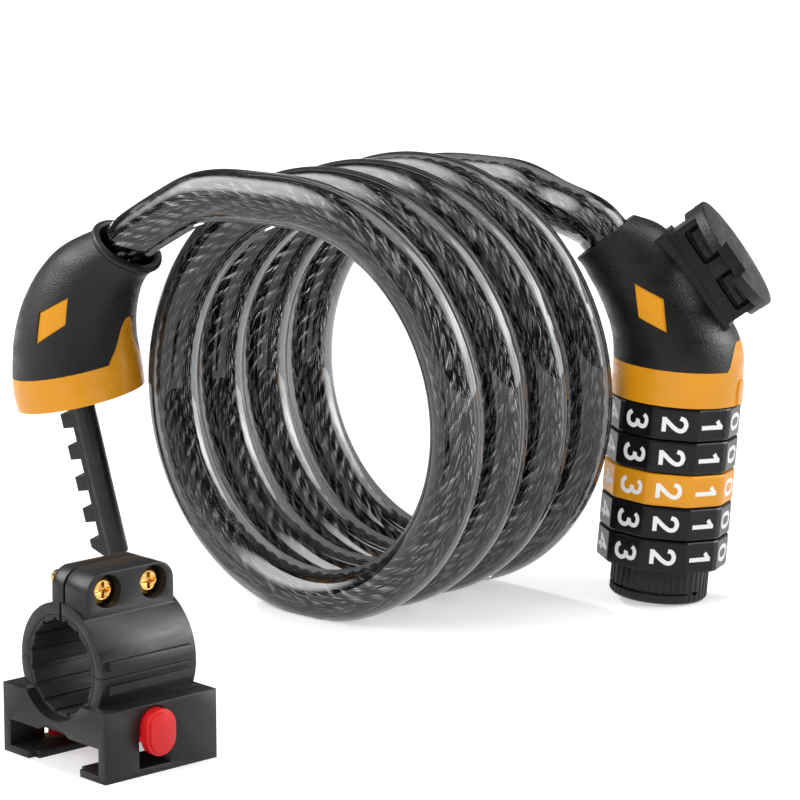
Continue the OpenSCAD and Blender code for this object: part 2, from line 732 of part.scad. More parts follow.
// Spring clip in the barrel's groove, under the knob
module knob_clip() {
    color([0.75, 0.75, 0.77]) at_dial() translate([0, 0, 1.3]) difference() {
        cylinder(r = 6.4, h = 0.7);
        translate([0, 0, -1]) cylinder(r = barrel_r - 0.45, h = 3);
        translate([-10, -key_w / 2 - 0.4, -1]) cube([10, key_w + 0.8, 3]);
    }
}

// ---- Carrier stud ----

module stud_places() { for (s = [-1, 1]) translate([s * window_x, 0, 0]) children(); }

// Window in one side of the block, with two round corners
module stud_window() {
    side = window_l / 2 - window_corner;
    translate([-window_l / 2, stud_w / 2 - window_depth, stud_top - window_h + window_corner])
        cube([window_l, window_depth + 2, window_h]);
    translate([-side, stud_w / 2 - window_depth, stud_top - window_h])
        cube([2 * side, window_depth + 2, window_h]);
    for (s = [-1, 1]) translate([s * side, stud_w / 2 - window_depth, stud_top - window_h + window_corner])
        rotate([-90, 0, 0]) cylinder(r = window_corner, h = window_depth + 2);
}

// Block with a flange and four windows that sits on the housing's outer side
module stud_base() {
    web = stud_w / 2 - window_depth;
    color([0.13, 0.13, 0.14]) at_dial() difference() {
        at_stud() difference() {
            union() {
                translate([-stud_l / 2, -stud_w / 2, -7]) cube([stud_l, stud_w, stud_top + 7]);
                translate([-stud_l / 2 - 0.9, -stud_w / 2 - 0.35, -7])
                    cube([stud_l + 1.8, stud_w + 0.7, 7 - skirt_low]);
                intersection() {
                    translate([0, 0, stud_h]) cylinder(r = disc_r - fit_gap, h = stud_flange_t, $fn = 80);
                    translate([-20, -stud_w / 2, 0]) cube([40, stud_w, 20]);
                }
            }
            stud_places() {
                stud_window();
                rotate([0, 0, 180]) stud_window();
                translate([-leg_w / 2 - fit_gap, -web - 1, leg_low - 0.2])
                    cube([leg_w + 2 * fit_gap, 2 * web + 2, stud_top]);
                translate([-lug_w / 2 - fit_gap, -web - 1, stud_top - lug_h - fit_gap])
                    cube([lug_w + 2 * fit_gap, 2 * web + 2, lug_h + 2]);
            }
        }
        housing_form(dial_sections, 0.05);
    }
}

// Round head that slides into the bracket, with two legs that go down into the block
module stud_disc() {
    edge = 0.4;
    web = stud_w / 2 - window_depth;
    color([0.15, 0.15, 0.16]) at_dial() at_stud() {
        difference() {
            translate([0, 0, stud_top]) rotate_extrude($fn = 80) polygon([[0, 0], [disc_r, 0],
                [disc_r, disc_t - edge], [disc_r - edge, disc_t], [0, disc_t]]);
            translate([-notch_w / 2, -disc_r - 2, stud_top - 1])
                cube([notch_w, disc_r + 2 - stud_w / 2, disc_t + 2]);
        }
        stud_places() {
            translate([-leg_w / 2, -web + fit_gap, leg_low])
                cube([leg_w, 2 * (web - fit_gap), stud_top - leg_low + 0.5]);
            translate([-lug_w / 2, lug_sink - stud_w / 2, stud_top - lug_h])
                cube([lug_w, stud_w - 2 * lug_sink, lug_h + 0.5]);
        }
    }
}

// ---- Tube bracket ----

// Cylinder along Y, in the middle of the clamp ring
module along_tube(r, w) { translate([0, w / 2, clamp_z]) rotate([90, 0, 0]) cylinder(r = r, h = w, $fn = 96); }
module along_x(p, r, l) { translate(p) rotate([0, 90, 0]) cylinder(r = r, h = l); }
module clamp_screw_places() {
    for (s = [-1, 1]) translate([0, s * screw_y, screw_z]) rotate([0, 90, 0]) children();
}

// Upright oval along X, from x0 to x1
module oval_bar(x0, x1, grow) {
    for (s = [-1, 1])
        along_x([x0, 0, button_z + s * button_rise], button_r + grow, x1 - x0);
    translate([x0, -button_r - grow, button_z - button_rise])
        cube([x1 - x0, 2 * (button_r + grow), 2 * button_rise]);
}
module at_seat() { translate([0, seat_y, 0]) children(); }

// Foot with the lower half of the clamp ring and the slot for the stud's disc
module bracket_foot() {
    lip_z = clamp_z - 3.4;
    color([0.1, 0.1, 0.11]) at_bracket() difference() {
        union() {
            translate([-foot_w / 2, -foot_l / 2, 0]) cube([foot_w, foot_l, foot_h]);
            intersection() {
                along_tube(clamp_r, clamp_w);
                translate([-50, -50, slot_top]) cube([100, 100, clamp_z - fit_gap / 2 - slot_top]);
            }
            intersection() {
                along_tube(clamp_r + 1.3, clamp_w - 3);
                translate([-50, -50, lip_z]) cube([100, 100, 2]);
            }
        }
        along_tube(bore_r, 2 * clamp_w);
        translate([-slot_r, -foot_l, slot_z]) cube([2 * slot_r, foot_l + seat_y, slot_h]);
        at_seat() translate([0, 0, slot_z]) cylinder(r = slot_r, h = slot_h, $fn = 96);
        translate([-neck_w / 2, -foot_l, -1]) cube([neck_w, foot_l + seat_y + stud_l / 2 + 0.5, slot_z + 2]);
        translate([0, 1.6 - foot_l / 2, plate_top - 8.4]) rotate([90, 0, 0]) cylinder(r = 8.4, h = 3);
        at_seat() {
            translate([-foot_w, -plate_w / 2 - slide_gap, slot_z])
                cube([1.5 * foot_w, plate_w + 2 * slide_gap, plate_top - slot_z]);
            oval_bar(button_in - button_travel - 0.2, foot_w, button_gap);
            along_x([spring_in, 0, spring_z], spring_r + fit_gap, foot_w);
        }
    }
}

// Flange of an upper jaw, t thick, on the side s
module jaw_flange(s, t) {
    x0 = s < 0 ? -jaw_seam - t : jaw_seam;
    base_z = clamp_z + clamp_r - 4;
    translate([x0, -flange_w / 2, base_z]) cube([t, flange_w, flange_top - flange_corner_r - base_z]);
    translate([x0, flange_corner_r - flange_w / 2, base_z])
        cube([t, flange_w - 2 * flange_corner_r, flange_top - base_z]);
    for (e = [-1, 1])
        along_x([x0, e * (flange_w / 2 - flange_corner_r), flange_top - flange_corner_r], flange_corner_r, t);
}

// Upper jaw: the left one holds the nuts, the right one the screws' heads
module clamp_jaw(s) {
    difference() {
        union() {
            intersection() {
                along_tube(clamp_r, clamp_w);
                translate([s < 0 ? -50 : jaw_seam, -50, clamp_z + fit_gap / 2]) cube([50 - jaw_seam, 100, 50]);
            }
            intersection() {
                along_tube(clamp_r + 1.3, clamp_w - 3);
                translate([s < 0 ? -50 : 0, -50, clamp_z + 1.4]) cube([50, 100, 2]);
            }
            jaw_flange(s, s < 0 ? left_flange_t : right_flange_t);
        }
        along_tube(bore_r, 2 * clamp_w);
        clamp_screw_places() {
            translate([0, 0, -20]) cylinder(r = screw_r + fit_gap, h = 40);
            translate([0, 0, 3.4]) cylinder(r = screw_head_r + 0.5, h = 20);
            if (s < 0) translate([0, 0, -20]) cylinder(r = nut_r + fit_gap, h = 20 - jaw_seam - left_flange_t + nut_t, $fn = 6);
        }
    }
}

module clamp_jaw_left() { color([0.1, 0.1, 0.11]) at_bracket() clamp_jaw(-1); }
module clamp_jaw_right() { color([0.1, 0.1, 0.11]) at_bracket() clamp_jaw(1); }

// Rubber sleeve with grooves along the tube, split at the top
module tube_liner() {
    grooves = 16;
    color([0.06, 0.06, 0.06]) at_bracket() difference() {
        along_tube(bore_r - fit_gap, clamp_w);
        along_tube(tube_r, 2 * clamp_w);
        translate([0, 0, clamp_z]) for (i = [0 : grooves - 1]) rotate([0, 360 * (i + 0.5) / grooves, 0])
            translate([-0.5, -clamp_w, tube_r - 1]) cube([1, 2 * clamp_w, 1.5]);
        translate([-0.4, -clamp_w, clamp_z]) cube([0.8, 2 * clamp_w, 30]);
    }
}

module clamp_screws() {
    color([0.85, 0.62, 0.2]) at_bracket() clamp_screw_places() difference() {
        union() {
            translate([0, 0, -screw_tail]) cylinder(r = screw_r, h = screw_tail + 4);
            translate([0, 0, 3.5]) cylinder(r = screw_head_r, h = 1.6);
            translate([0, 0, 5.1]) cylinder(r1 = screw_head_r, r2 = 2, h = 0.7);
        }
        for (a = [0, 90]) rotate([0, 0, a]) translate([-1.7, -0.4, 4.6]) cube([3.4, 0.8, 3]);
    }
}

module clamp_nuts() {
    color([0.8, 0.58, 0.2]) at_bracket() clamp_screw_places() difference() {
        translate([0, 0, -jaw_seam - left_flange_t]) cylinder(r = nut_r, h = nut_t - fit_gap, $fn = 6);
        translate([0, 0, -screw_tail]) cylinder(r = screw_r + fit_gap / 2, h = screw_tail);
    }
}

// Oval push button; its plate carries the latch to the far side of the disc. Its lower half
// stops short of the slot, so that it never touches the disc
module release_button() {
    latch_x = button_travel - disc_r - fit_gap;
    color([0.86, 0.12, 0.12]) at_bracket() at_seat() difference() {
        union() {
            oval_bar(button_in, button_out - 0.7, 0);
            oval_bar(button_in, button_out, -0.6);
            translate([latch_x - latch_l - 0.2, -plate_w / 2, slot_top + slide_gap])
                cube([button_in + 1.2 - latch_x + latch_l, plate_w, plate_t]);
            translate([latch_x - latch_l, -latch_w / 2, slot_z + 0.6]) cube([latch_l, latch_w, slot_h]);
        }
        along_x([button_in - 1, 0, spring_z], spring_r + fit_gap, button_travel + 1.4);
        translate([spring_in, -foot_l / 2, 0])
            cube([slot_r + button_travel + fit_gap - spring_in, foot_l, slot_top]);
    }
}

module button_spring() {
    color([0.75, 0.75, 0.77]) at_bracket() at_seat() difference() {
        along_x([spring_in, 0, spring_z], spring_r, button_in - spring_in + 0.2);
        along_x([spring_in - 1, 0, spring_z], spring_r - 0.5, button_in - spring_in + 2);
    }
}

cable_jacket_coil();
wire_rope_coil();
cable_jacket_plug_end();
wire_rope_plug_end();
cable_jacket_dial_end();
wire_rope_dial_end();
plug_housing();
plug_collar();
plug_mouth_ring();
plug_inlays();
plug_ferrule();
plug_ferrule_pin();
rod_carrier();
locking_rod();
rod_dowel();
dial_housing();
dial_collar();
dial_inlays();
dial_ferrule();
dial_ferrule_pin();
core_barrel();
core_screws();
detent_strip();
number_wheel_1();
number_wheel_2();
number_wheel_3();
number_wheel_4();
number_wheel_5();
lock_ring_1();
lock_ring_2();
lock_ring_3();
lock_ring_4();
lock_ring_5();
end_knob();
knob_clip();
stud_base();
stud_disc();
bracket_foot();
clamp_jaw_left();
clamp_jaw_right();
tube_liner();
clamp_screws();
clamp_nuts();
release_button();
button_spring();
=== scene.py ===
"""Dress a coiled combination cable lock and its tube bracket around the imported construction.

Sizes are millimetres in each sub-assembly's own frame; a Placement turns them into the shared
frame's metres. Every class builds the meshes of one sub-assembly and dresses them.
"""

from __future__ import annotations

import json
import logging
import math
from dataclasses import dataclass
from enum import Enum
from typing import Callable, Iterable, Sequence

import bmesh
import bpy
import numpy as np
from mathutils import Matrix, Vector

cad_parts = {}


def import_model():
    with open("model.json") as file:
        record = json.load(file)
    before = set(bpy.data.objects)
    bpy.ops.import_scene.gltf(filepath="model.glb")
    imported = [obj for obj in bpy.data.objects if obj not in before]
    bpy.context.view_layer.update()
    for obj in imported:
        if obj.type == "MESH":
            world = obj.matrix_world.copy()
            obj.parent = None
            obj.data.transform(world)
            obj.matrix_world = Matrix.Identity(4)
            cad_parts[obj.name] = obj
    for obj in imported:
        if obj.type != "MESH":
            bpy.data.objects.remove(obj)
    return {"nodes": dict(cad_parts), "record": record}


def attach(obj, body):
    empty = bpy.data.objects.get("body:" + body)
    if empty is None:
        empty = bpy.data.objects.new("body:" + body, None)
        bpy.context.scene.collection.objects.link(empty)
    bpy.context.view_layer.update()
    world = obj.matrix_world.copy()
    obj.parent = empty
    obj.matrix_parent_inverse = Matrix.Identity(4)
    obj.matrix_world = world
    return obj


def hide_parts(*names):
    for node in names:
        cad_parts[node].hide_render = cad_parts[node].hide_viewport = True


LOG = logging.getLogger("cable_lock")
MM = 0.001  # one millimetre in the shared frame's metres
CM = 10.0  # one centimetre in millimetres
ROW_SHIFT = (-1.54, -44.15)  # the shared frame's origin, in the coil's X and Y
SMOOTH_ANGLE = math.radians(32)  # edges flatter than this are shaded smooth
CREASE_ANGLE = math.radians(12)  # the same where flats meet at shallow edges
EDGE_ANGLE = 38.0  # edges sharper than this, in degrees, are rounded
WELD = 1e-4  # corners closer than this many millimetres are one
CAD_WELD = 2e-6  # the same on a copy of a CAD node, in metres
CAD_FLAT = math.radians(0.6)  # faces of a copy that are flatter than this are one
RIB_SIDES = 12

Point = tuple[float, float, float]
Pair = tuple[float, float]
Colour = tuple[float, float, float]
Ring = list[Point]


# ---------------------------------------------------------------- shapes


def ease(t: float) -> float:
    """Smooth step from 0 to 1."""
    t = min(max(t, 0.0), 1.0)
    return t * t * (3 - 2 * t)


def on_curve(rows: Sequence[Sequence[float]], place: float) -> np.ndarray:
    """Read a smooth curve through rows of numbers.

    Args:
        rows: The rows, which the curve passes through one after the other.
        place: Where to read, counted in rows.

    Returns:
        The numbers at that place.
    """
    last = len(rows) - 1
    i = min(int(place), last - 1)
    u = place - i
    a, b, c, d = (np.array(rows[min(max(k, 0), last)], float) for k in (i - 1, i, i + 1, i + 2))
    bend = (2 * a - 5 * b + 4 * c - d) * u * u + (3 * b - a - 3 * c + d) * u**3
    return 0.5 * (2 * b + (c - a) * u + bend)


def arc(centre: Pair, radius: float, start: float, end: float, steps: int) -> list[Pair]:
    """Points on an arc, from one angle in degrees to another."""
    angles = [math.radians(start + (end - start) * k / steps) for k in range(steps + 1)]
    return [(centre[0] + radius * math.cos(a), centre[1] + radius * math.sin(a)) for a in angles]


def mesh_piece(name: str, points: Sequence, faces: Sequence) -> bpy.types.Object:
    """Make a linked mesh object.

    Args:
        name: Name of the new piece.
        points: Its corners.
        faces: Its faces, as numbers of corners.

    Returns:
        The piece.
    """
    mesh = bpy.data.meshes.new(name)
    mesh.from_pydata([tuple(p) for p in points], [], faces)
    piece = bpy.data.objects.new(name, mesh)
    bpy.context.scene.collection.objects.link(piece)
    return piece


def edit(piece: bpy.types.Object, change: Callable[[bmesh.types.BMesh], None]) -> None:
    """Run one change on a piece's mesh through bmesh.

    Args:
        piece: The piece.
        change: Function that changes the mesh.
    """
    work = bmesh.new()
    work.from_mesh(piece.data)
    change(work)
    work.to_mesh(piece.data)
    work.free()


def point_outwards(piece: bpy.types.Object) -> bpy.types.Object:
    """Merge doubled corners and turn every face of a closed mesh outwards.

    Args:
        piece: The piece, in millimetres.

    Returns:
        The same piece.
    """

    def change(work: bmesh.types.BMesh) -> None:
        """Merge, then recalculate."""
        bmesh.ops.remove_doubles(work, verts=work.verts, dist=WELD)
        bmesh.ops.recalc_face_normals(work, faces=work.faces)

    edit(piece, change)
    return piece


def loft(name: str, rings: Sequence[Ring], closed_path: bool = False) -> bpy.types.Object:
    """Skin a list of rings that all have the same number of points.

    Args:
        name: Name of the new piece.
        rings: The rings, in order.
        closed_path: True where the last ring joins the first, as round a torus.

    Returns:
        The closed mesh.
    """
    n = len(rings[0])
    m = len(rings)
    faces: list[tuple[int, ...]] = []
    for i in range(m if closed_path else m - 1):
        for k in range(n):
            j, nxt = (k + 1) % n, (i + 1) % m
            faces.append((i * n + k, i * n + j, nxt * n + j, nxt * n + k))
    if not closed_path:
        faces.append(tuple(reversed(range(n))))
        faces.append(tuple(range((m - 1) * n, m * n)))
    return point_outwards(mesh_piece(name, [p for ring in rings for p in ring], faces))


def lathe(name: str, profile: Sequence[Pair], segments: int = 96) -> bpy.types.Object:
    """Turn a closed profile about Z.

    Args:
        name: Name of the new piece.
        profile: Pairs of radius and height.
        segments: Number of steps in the turn.

    Returns:
        The closed mesh.
    """
    rings = []
    for k in range(segments):
        a = math.tau * k / segments
        rings.append([(r * math.cos(a), r * math.sin(a), z) for r, z in profile])
    return loft(name, rings, closed_path=True)


def drum(radius: float, low: float, high: float, segments: int = 96) -> bpy.types.Object:
    """A plain cutting cylinder along Z.

    Args:
        radius: Its radius.
        low: Its lower end.
        high: Its upper end.
        segments: Number of its sides.

    Returns:
        The closed mesh.
    """
    circle = arc((0, 0), radius, 0, 360 * (1 - 1 / segments), segments - 1)
    return loft("drum", [[(x, y, z) for x, y in circle] for z in (low, high)])


def block(low: Point, high: Point) -> bpy.types.Object:
    """A plain cutting block between two corners."""
    outline = [(low[0], low[1]), (high[0], low[1]), (high[0], high[1]), (low[0], high[1])]
    return loft("block", [[(x, y, z) for x, y in outline] for z in (low[2], high[2])])


def prism_along_y(outline: Sequence[Pair], low: float, high: float) -> bpy.types.Object:
    """Prism of an X-Z outline, from one Y to another."""
    return loft("prism", [[(x, y, z) for x, z in outline] for y in (low, high)])


def prism_along_x(outline: Sequence[Pair], low: float, high: float) -> bpy.types.Object:
    """Prism of a Y-Z outline, from one X to another."""
    return loft("prism", [[(x, y, z) for y, z in outline] for x in (low, high)])


def moved(piece: bpy.types.Object, matrix: Matrix) -> bpy.types.Object:
    """Move a piece's mesh, so that its object stays at the origin."""
    piece.data.transform(matrix)
    return piece


def bake_modifiers(piece: bpy.types.Object) -> bpy.types.Object:
    """Turn a piece with live modifiers into a plain mesh.

    Args:
        piece: The piece.

    Returns:
        The same piece, without modifiers.
    """
    graph = bpy.context.evaluated_depsgraph_get()
    baked = bpy.data.meshes.new_from_object(piece.evaluated_get(graph))
    piece.modifiers.clear()
    piece.data = baked
    return piece


def discard(pieces: Iterable[bpy.types.Object]) -> None:
    """Remove helper objects."""
    for piece in pieces:
        bpy.data.objects.remove(piece)


class Cut(Enum):
    """How a tool changes a piece."""

    AWAY = "DIFFERENCE"
    INSIDE = "INTERSECT"
    ADD = "UNION"


def carve(
    piece: bpy.types.Object, tools: Sequence[bpy.types.Object], how: Cut = Cut.AWAY
) -> bpy.types.Object:
    """Cut a piece with tools, or add them to it, and remove the tools.

    Args:
        piece: The piece.
        tools: The tools, which are used one after the other.
        how: What each tool does.

    Returns:
        The same piece.
    """
    for tool in tools:
        step = piece.modifiers.new("carve", "BOOLEAN")
        step.operation = how.value
        step.solver = "EXACT"
        step.object = tool
    bake_modifiers(piece)
    discard(tools)
    return piece


def round_edges(
    piece: bpy.types.Object, width: float, steps: int = 2, angle: float = EDGE_ANGLE
) -> bpy.types.Object:
    """Round the sharp edges of a piece.

    Args:
        piece: The piece.
        width: Width of the rounding, in the piece's own unit.
        steps: Number of faces across it.
        angle: Edges sharper than this many degrees are rounded.

    Returns:
        The same piece.
    """
    bevel = piece.modifiers.new("edges", "BEVEL")
    bevel.width = width
    bevel.segments = steps
    bevel.limit_method = "ANGLE"
    bevel.angle_limit = math.radians(angle)
    bevel.use_clamp_overlap = True
    bevel.miter_outer = "MITER_ARC"
    return bake_modifiers(piece)


def shade(piece: bpy.types.Object, angle: float = SMOOTH_ANGLE) -> bpy.types.Object:
    """Shade a piece smooth, with edges over an angle kept sharp.

    Args:
        piece: The piece.
        angle: The angle, in radians.

    Returns:
        The same piece.
    """
    piece.data.shade_smooth()
    piece.data.set_sharp_from_angle(angle=angle)
    return piece


def join(name: str, parts: Sequence[bpy.types.Object]) -> bpy.types.Object:
    """Join several meshes into one new piece and remove them.

    Args:
        name: Name of the new piece.
        parts: The pieces to join.

    Returns:
        The new piece.
    """
    work = bmesh.new()
    for part in parts:
        work.from_mesh(part.data)
    mesh = bpy.data.meshes.new(name)
    work.to_mesh(mesh)
    work.free()
    discard(parts)
    piece = bpy.data.objects.new(name, mesh)
    bpy.context.scene.collection.objects.link(piece)
    return piece


# ---------------------------------------------------------------- node trees


class Graph:
    """Builds a node tree step by step."""

    def __init__(self, tree: bpy.types.NodeTree, owner: bpy.types.ID | None = None) -> None:
        """Take the tree to build in, and the material that owns it."""
        self.tree = tree
        self.owner = owner

    def add(self, kind: str, **settings: object) -> bpy.types.Node:
        """Add a node.

        Args:
            kind: Blender's name of the kind of node.
            **settings: Properties of the node.

        Returns:
            The node.
        """
        node = self.tree.nodes.new(kind)
        for name, value in settings.items():
            setattr(node, name, value)
        return node

    def put(self, value: object, socket: bpy.types.NodeSocket) -> None:
        """Link another socket to an input, or set a plain value on it.

        Args:
            value: The other socket, or the value.
            socket: The input.
        """
        if isinstance(value, bpy.types.NodeSocket):
            self.tree.links.new(value, socket)
        else:
            socket.default_value = value

    def feed(self, node: bpy.types.Node, **values: object) -> bpy.types.Node:
        """Put values on a node's inputs.

        Args:
            node: The node.
            **values: Sockets or plain values, by the input's name with _ for a space.

        Returns:
            The same node.
        """
        for name, value in values.items():
            self.put(value, node.inputs[name.replace("_", " ")])
        return node

    def math(self, operation: str, *terms: object) -> bpy.types.NodeSocket:
        """Add a Math node.

        Args:
            operation: What it does.
            *terms: Sockets or numbers that it works on.

        Returns:
            Its output.
        """
        node = self.add("ShaderNodeMath", operation=operation)
        for socket, term in zip(node.inputs, terms):
            self.put(term, socket)
        return node.outputs[0]

    def remap(self, value: bpy.types.NodeSocket, spans: tuple[float, ...]) -> bpy.types.NodeSocket:
        """Map one span of numbers to another, clamped.

        Args:
            value: The number to map.
            spans: Lowest and highest number before, lowest and highest number after.

        Returns:
            The mapped number.
        """
        node = self.feed(self.add("ShaderNodeMapRange"), Value=value)
        for name, number in zip(("From Min", "From Max", "To Min", "To Max"), spans):
            node.inputs[name].default_value = number
        return node.outputs["Result"]

    def noise(self, place: object, scale: object, detail: float) -> bpy.types.NodeSocket:
        """Add a noise texture.

        Args:
            place: Coordinates that it reads.
            scale: Its scale.
            detail: Its number of finer layers.

        Returns:
            Its grey output.
        """
        node = self.add("ShaderNodeTexNoise")
        return self.feed(node, Vector=place, Scale=scale, Detail=detail).outputs["Fac"]


def shader_group(
    name: str, inputs: dict[str, float], outputs: Sequence[str]
) -> tuple[Graph, bpy.types.Node, bpy.types.Node]:
    """Start a shader node group on object coordinates.

    Args:
        name: Name of the group.
        inputs: Number inputs with their defaults; a Vector input comes first.
        outputs: Names of the number outputs.

    Returns:
        The graph, its input node and its output node.
    """
    tree = bpy.data.node_groups.new(name, "ShaderNodeTree")
    tree.interface.new_socket("Vector", in_out="INPUT", socket_type="NodeSocketVector")
    for label, default in inputs.items():
        socket = tree.interface.new_socket(label, in_out="INPUT", socket_type="NodeSocketFloat")
        socket.default_value = default
    for label in outputs:
        tree.interface.new_socket(label, in_out="OUTPUT", socket_type="NodeSocketFloat")
    graph = Graph(tree)
    return graph, graph.add("NodeGroupInput"), graph.add("NodeGroupOutput")


def mould_grain_group() -> bpy.types.NodeTree:
    """Spark-eroded mould grain: a height and a faint tone that follows it.

    Returns:
        The group.
    """
    graph, given, result = shader_group(
        "mould_grain", {"Scale": 2600.0, "Patches": 60.0}, ("Height", "Tone")
    )
    cell_share, height_share, tone_spans = 0.5, 0.35, (0.5, 1.1, 0.0, 1.0)
    place, scale, patch_scale = (given.outputs[k] for k in ("Vector", "Scale", "Patches"))
    pits = graph.noise(place, scale, 3.0)
    cells = graph.add("ShaderNodeTexVoronoi", feature="SMOOTH_F1")
    graph.feed(cells, Vector=place, Scale=scale)
    patches = graph.noise(place, patch_scale, 2.0)
    height = graph.math("MULTIPLY_ADD", cells.outputs["Distance"], cell_share, pits)
    tone = graph.math("MULTIPLY_ADD", height, height_share, patches)
    graph.feed(result, Height=height, Tone=graph.remap(tone, tone_spans))
    return graph.tree


def handling_group() -> bpy.types.NodeTree:
    """Faint rubbed streaks and finger marks that change the gloss.

    Returns:
        The group.
    """
    graph, given, result = shader_group("handling", {"Scale": 90.0, "Stretch": 6.0}, ("Mask",))
    detail, mask_spans = 5.0, (0.42, 0.66, 0.0, 1.0)
    stretch = graph.add("ShaderNodeCombineXYZ")
    graph.feed(stretch, X=1.0, Y=1.0, Z=given.outputs["Stretch"])
    warped = graph.add("ShaderNodeVectorMath", operation="MULTIPLY")
    graph.put(given.outputs["Vector"], warped.inputs[0])
    graph.put(stretch.outputs[0], warped.inputs[1])
    marks = graph.noise(warped.outputs[0], given.outputs["Scale"], detail)
    graph.feed(result, Mask=graph.remap(marks, mask_spans))
    return graph.tree


def wire_lay_group() -> bpy.types.NodeTree:
    """Single wires on the strands of a rope, from a map of (strand, length) coordinates, with a
    mask of painted glints on the wire crowns.

    Returns:
        The group.
    """
    graph, given, result = shader_group(
        "wire_lay", {"Wires": 5.0, "Slant": 9.0, "Glints": 3.0}, ("Height", "Tone", "Glint")
    )
    round_wire, crown_wire, noise_scale = 0.6, 1.5, 1.2
    tone_spans, glint_spans = (0.35, 0.7, 0.0, 1.0), (0.47, 0.55, 0.0, 1.0)
    split = graph.add("ShaderNodeSeparateXYZ")
    graph.feed(split, Vector=given.outputs["Vector"])
    length = split.outputs["Y"]
    across = graph.math("MULTIPLY", split.outputs["X"], given.outputs["Wires"])
    along = graph.math("MULTIPLY", length, given.outputs["Slant"])
    place = graph.math("ADD", across, along)
    wave = graph.math("ABSOLUTE", graph.math("SINE", graph.math("MULTIPLY", place, math.pi)))
    stretched = graph.add("ShaderNodeCombineXYZ")
    graph.feed(stretched, X=place, Y=graph.math("MULTIPLY", length, given.outputs["Glints"]))
    noise = graph.noise(stretched.outputs[0], noise_scale, 0.0)
    # Glint is a painted glint: bright dashes on the wire crowns that stand in for reflected light
    bright = graph.remap(noise, glint_spans)
    graph.feed(
        result,
        Height=graph.math("POWER", wave, round_wire),
        Tone=graph.remap(noise, tone_spans),
        Glint=graph.math("MULTIPLY", bright, graph.math("POWER", wave, crown_wire)),
    )
    return graph.tree


# ---------------------------------------------------------------- finishes


@dataclass(frozen=True)
class Finish:
    """What every finish has: a name, a colour, a roughness and a gloss."""

    name: str
    colour: Colour
    roughness: float
    gloss: float = 0.5

    def start(self) -> tuple[Graph, bpy.types.Node, bpy.types.NodeSocket]:
        """Make the material.

        Returns:
            Its graph, its main shader and its object coordinates.
        """
        material = bpy.data.materials.new(self.name)
        material.use_nodes = True
        graph = Graph(material.node_tree, material)
        shader = material.node_tree.nodes["Principled BSDF"]
        graph.feed(
            shader,
            Base_Color=(*self.colour, 1.0),
            Roughness=self.roughness,
            Specular_IOR_Level=self.gloss,
        )
        place = graph.add("ShaderNodeTexCoord").outputs["Object"]
        return graph, shader, place

    def group(
        self, graph: Graph, name: str, place: bpy.types.NodeSocket, **values: float
    ) -> bpy.types.NodeOutputs:
        """Place a shared node group.

        Args:
            graph: Graph of the material.
            name: Name of the group.
            place: Coordinates that it reads.
            **values: Its own values.

        Returns:
            Its outputs.
        """
        node = graph.add("ShaderNodeGroup", node_tree=bpy.data.node_groups[name])
        return graph.feed(node, Vector=place, **values).outputs

    def two_tones(
        self, graph: Graph, shader: bpy.types.Node, mask: bpy.types.NodeSocket, other: Colour
    ) -> None:
        """Let a mask mix the finish's colour with another one.

        Args:
            graph: Graph of the material.
            shader: Its main shader.
            mask: 0 for the finish's colour, 1 for the other one.
            other: The other colour.
        """
        mix = graph.add("ShaderNodeMix", data_type="RGBA")
        mix.inputs[6].default_value = (*self.colour, 1.0)
        mix.inputs[7].default_value = (*other, 1.0)
        graph.put(mask, mix.inputs[0])
        graph.feed(shader, Base_Color=mix.outputs[2])

    def bump(
        self, graph: Graph, shader: bpy.types.Node, height: bpy.types.NodeSocket, depth: float
    ) -> None:
        """Let a height raise the surface.

        Args:
            graph: Graph of the material.
            shader: Its main shader.
            height: The height, from 0 to 1.
            depth: How high that is, in metres.
        """
        node = graph.add("ShaderNodeBump")
        graph.feed(node, Height=height, Distance=depth, Strength=1.0)
        graph.feed(shader, Normal=node.outputs["Normal"])


@dataclass(frozen=True)
class MouldedPlastic(Finish):
    """Moulded plastic with a fine mould grain and faint handling marks."""

    grain_depth: float = 0.00002
    grain_scale: float = 2600.0
    lift: float = 1.6
    gloss_swing: float = 0.08
    patch_scale: float = 70.0
    mark_scale: float = 90.0
    mark_stretch: float = 4.0

    def build(self) -> bpy.types.Material:
        """Make the material.

        Returns:
            The material.
        """
        graph, shader, place = self.start()
        grain = self.group(
            graph, "mould_grain", place, Scale=self.grain_scale, Patches=self.patch_scale
        )
        lighter = tuple(min(c * self.lift, 1.0) for c in self.colour)
        self.two_tones(graph, shader, grain["Tone"], lighter)
        marks = self.group(
            graph, "handling", place, Scale=self.mark_scale, Stretch=self.mark_stretch
        )
        spans = (0.0, 1.0, self.roughness + self.gloss_swing, self.roughness - self.gloss_swing)
        graph.feed(shader, Roughness=graph.remap(marks["Mask"], spans))
        self.bump(graph, shader, grain["Height"], self.grain_depth)
        return graph.owner


@dataclass(frozen=True)
class Metal(Finish):
    """Turned, drawn or plated metal with fine streaks."""

    stretch: float = 8.0
    streaks: float = 400.0
    streak_depth: float = 0.000008
    streak_shade: float = 0.7
    dulling: float = 0.15

    def build(self) -> bpy.types.Material:
        """Make the material.

        Returns:
            The material.
        """
        graph, shader, place = self.start()
        graph.feed(shader, Metallic=1.0)
        marks = self.group(graph, "handling", place, Scale=self.streaks, Stretch=self.stretch)
        darker = tuple(c * self.streak_shade for c in self.colour)
        self.two_tones(graph, shader, marks["Mask"], darker)
        spans = (0.0, 1.0, self.roughness, min(self.roughness + self.dulling, 1.0))
        graph.feed(shader, Roughness=graph.remap(marks["Mask"], spans))
        self.bump(graph, shader, marks["Mask"], self.streak_depth)
        return graph.owner


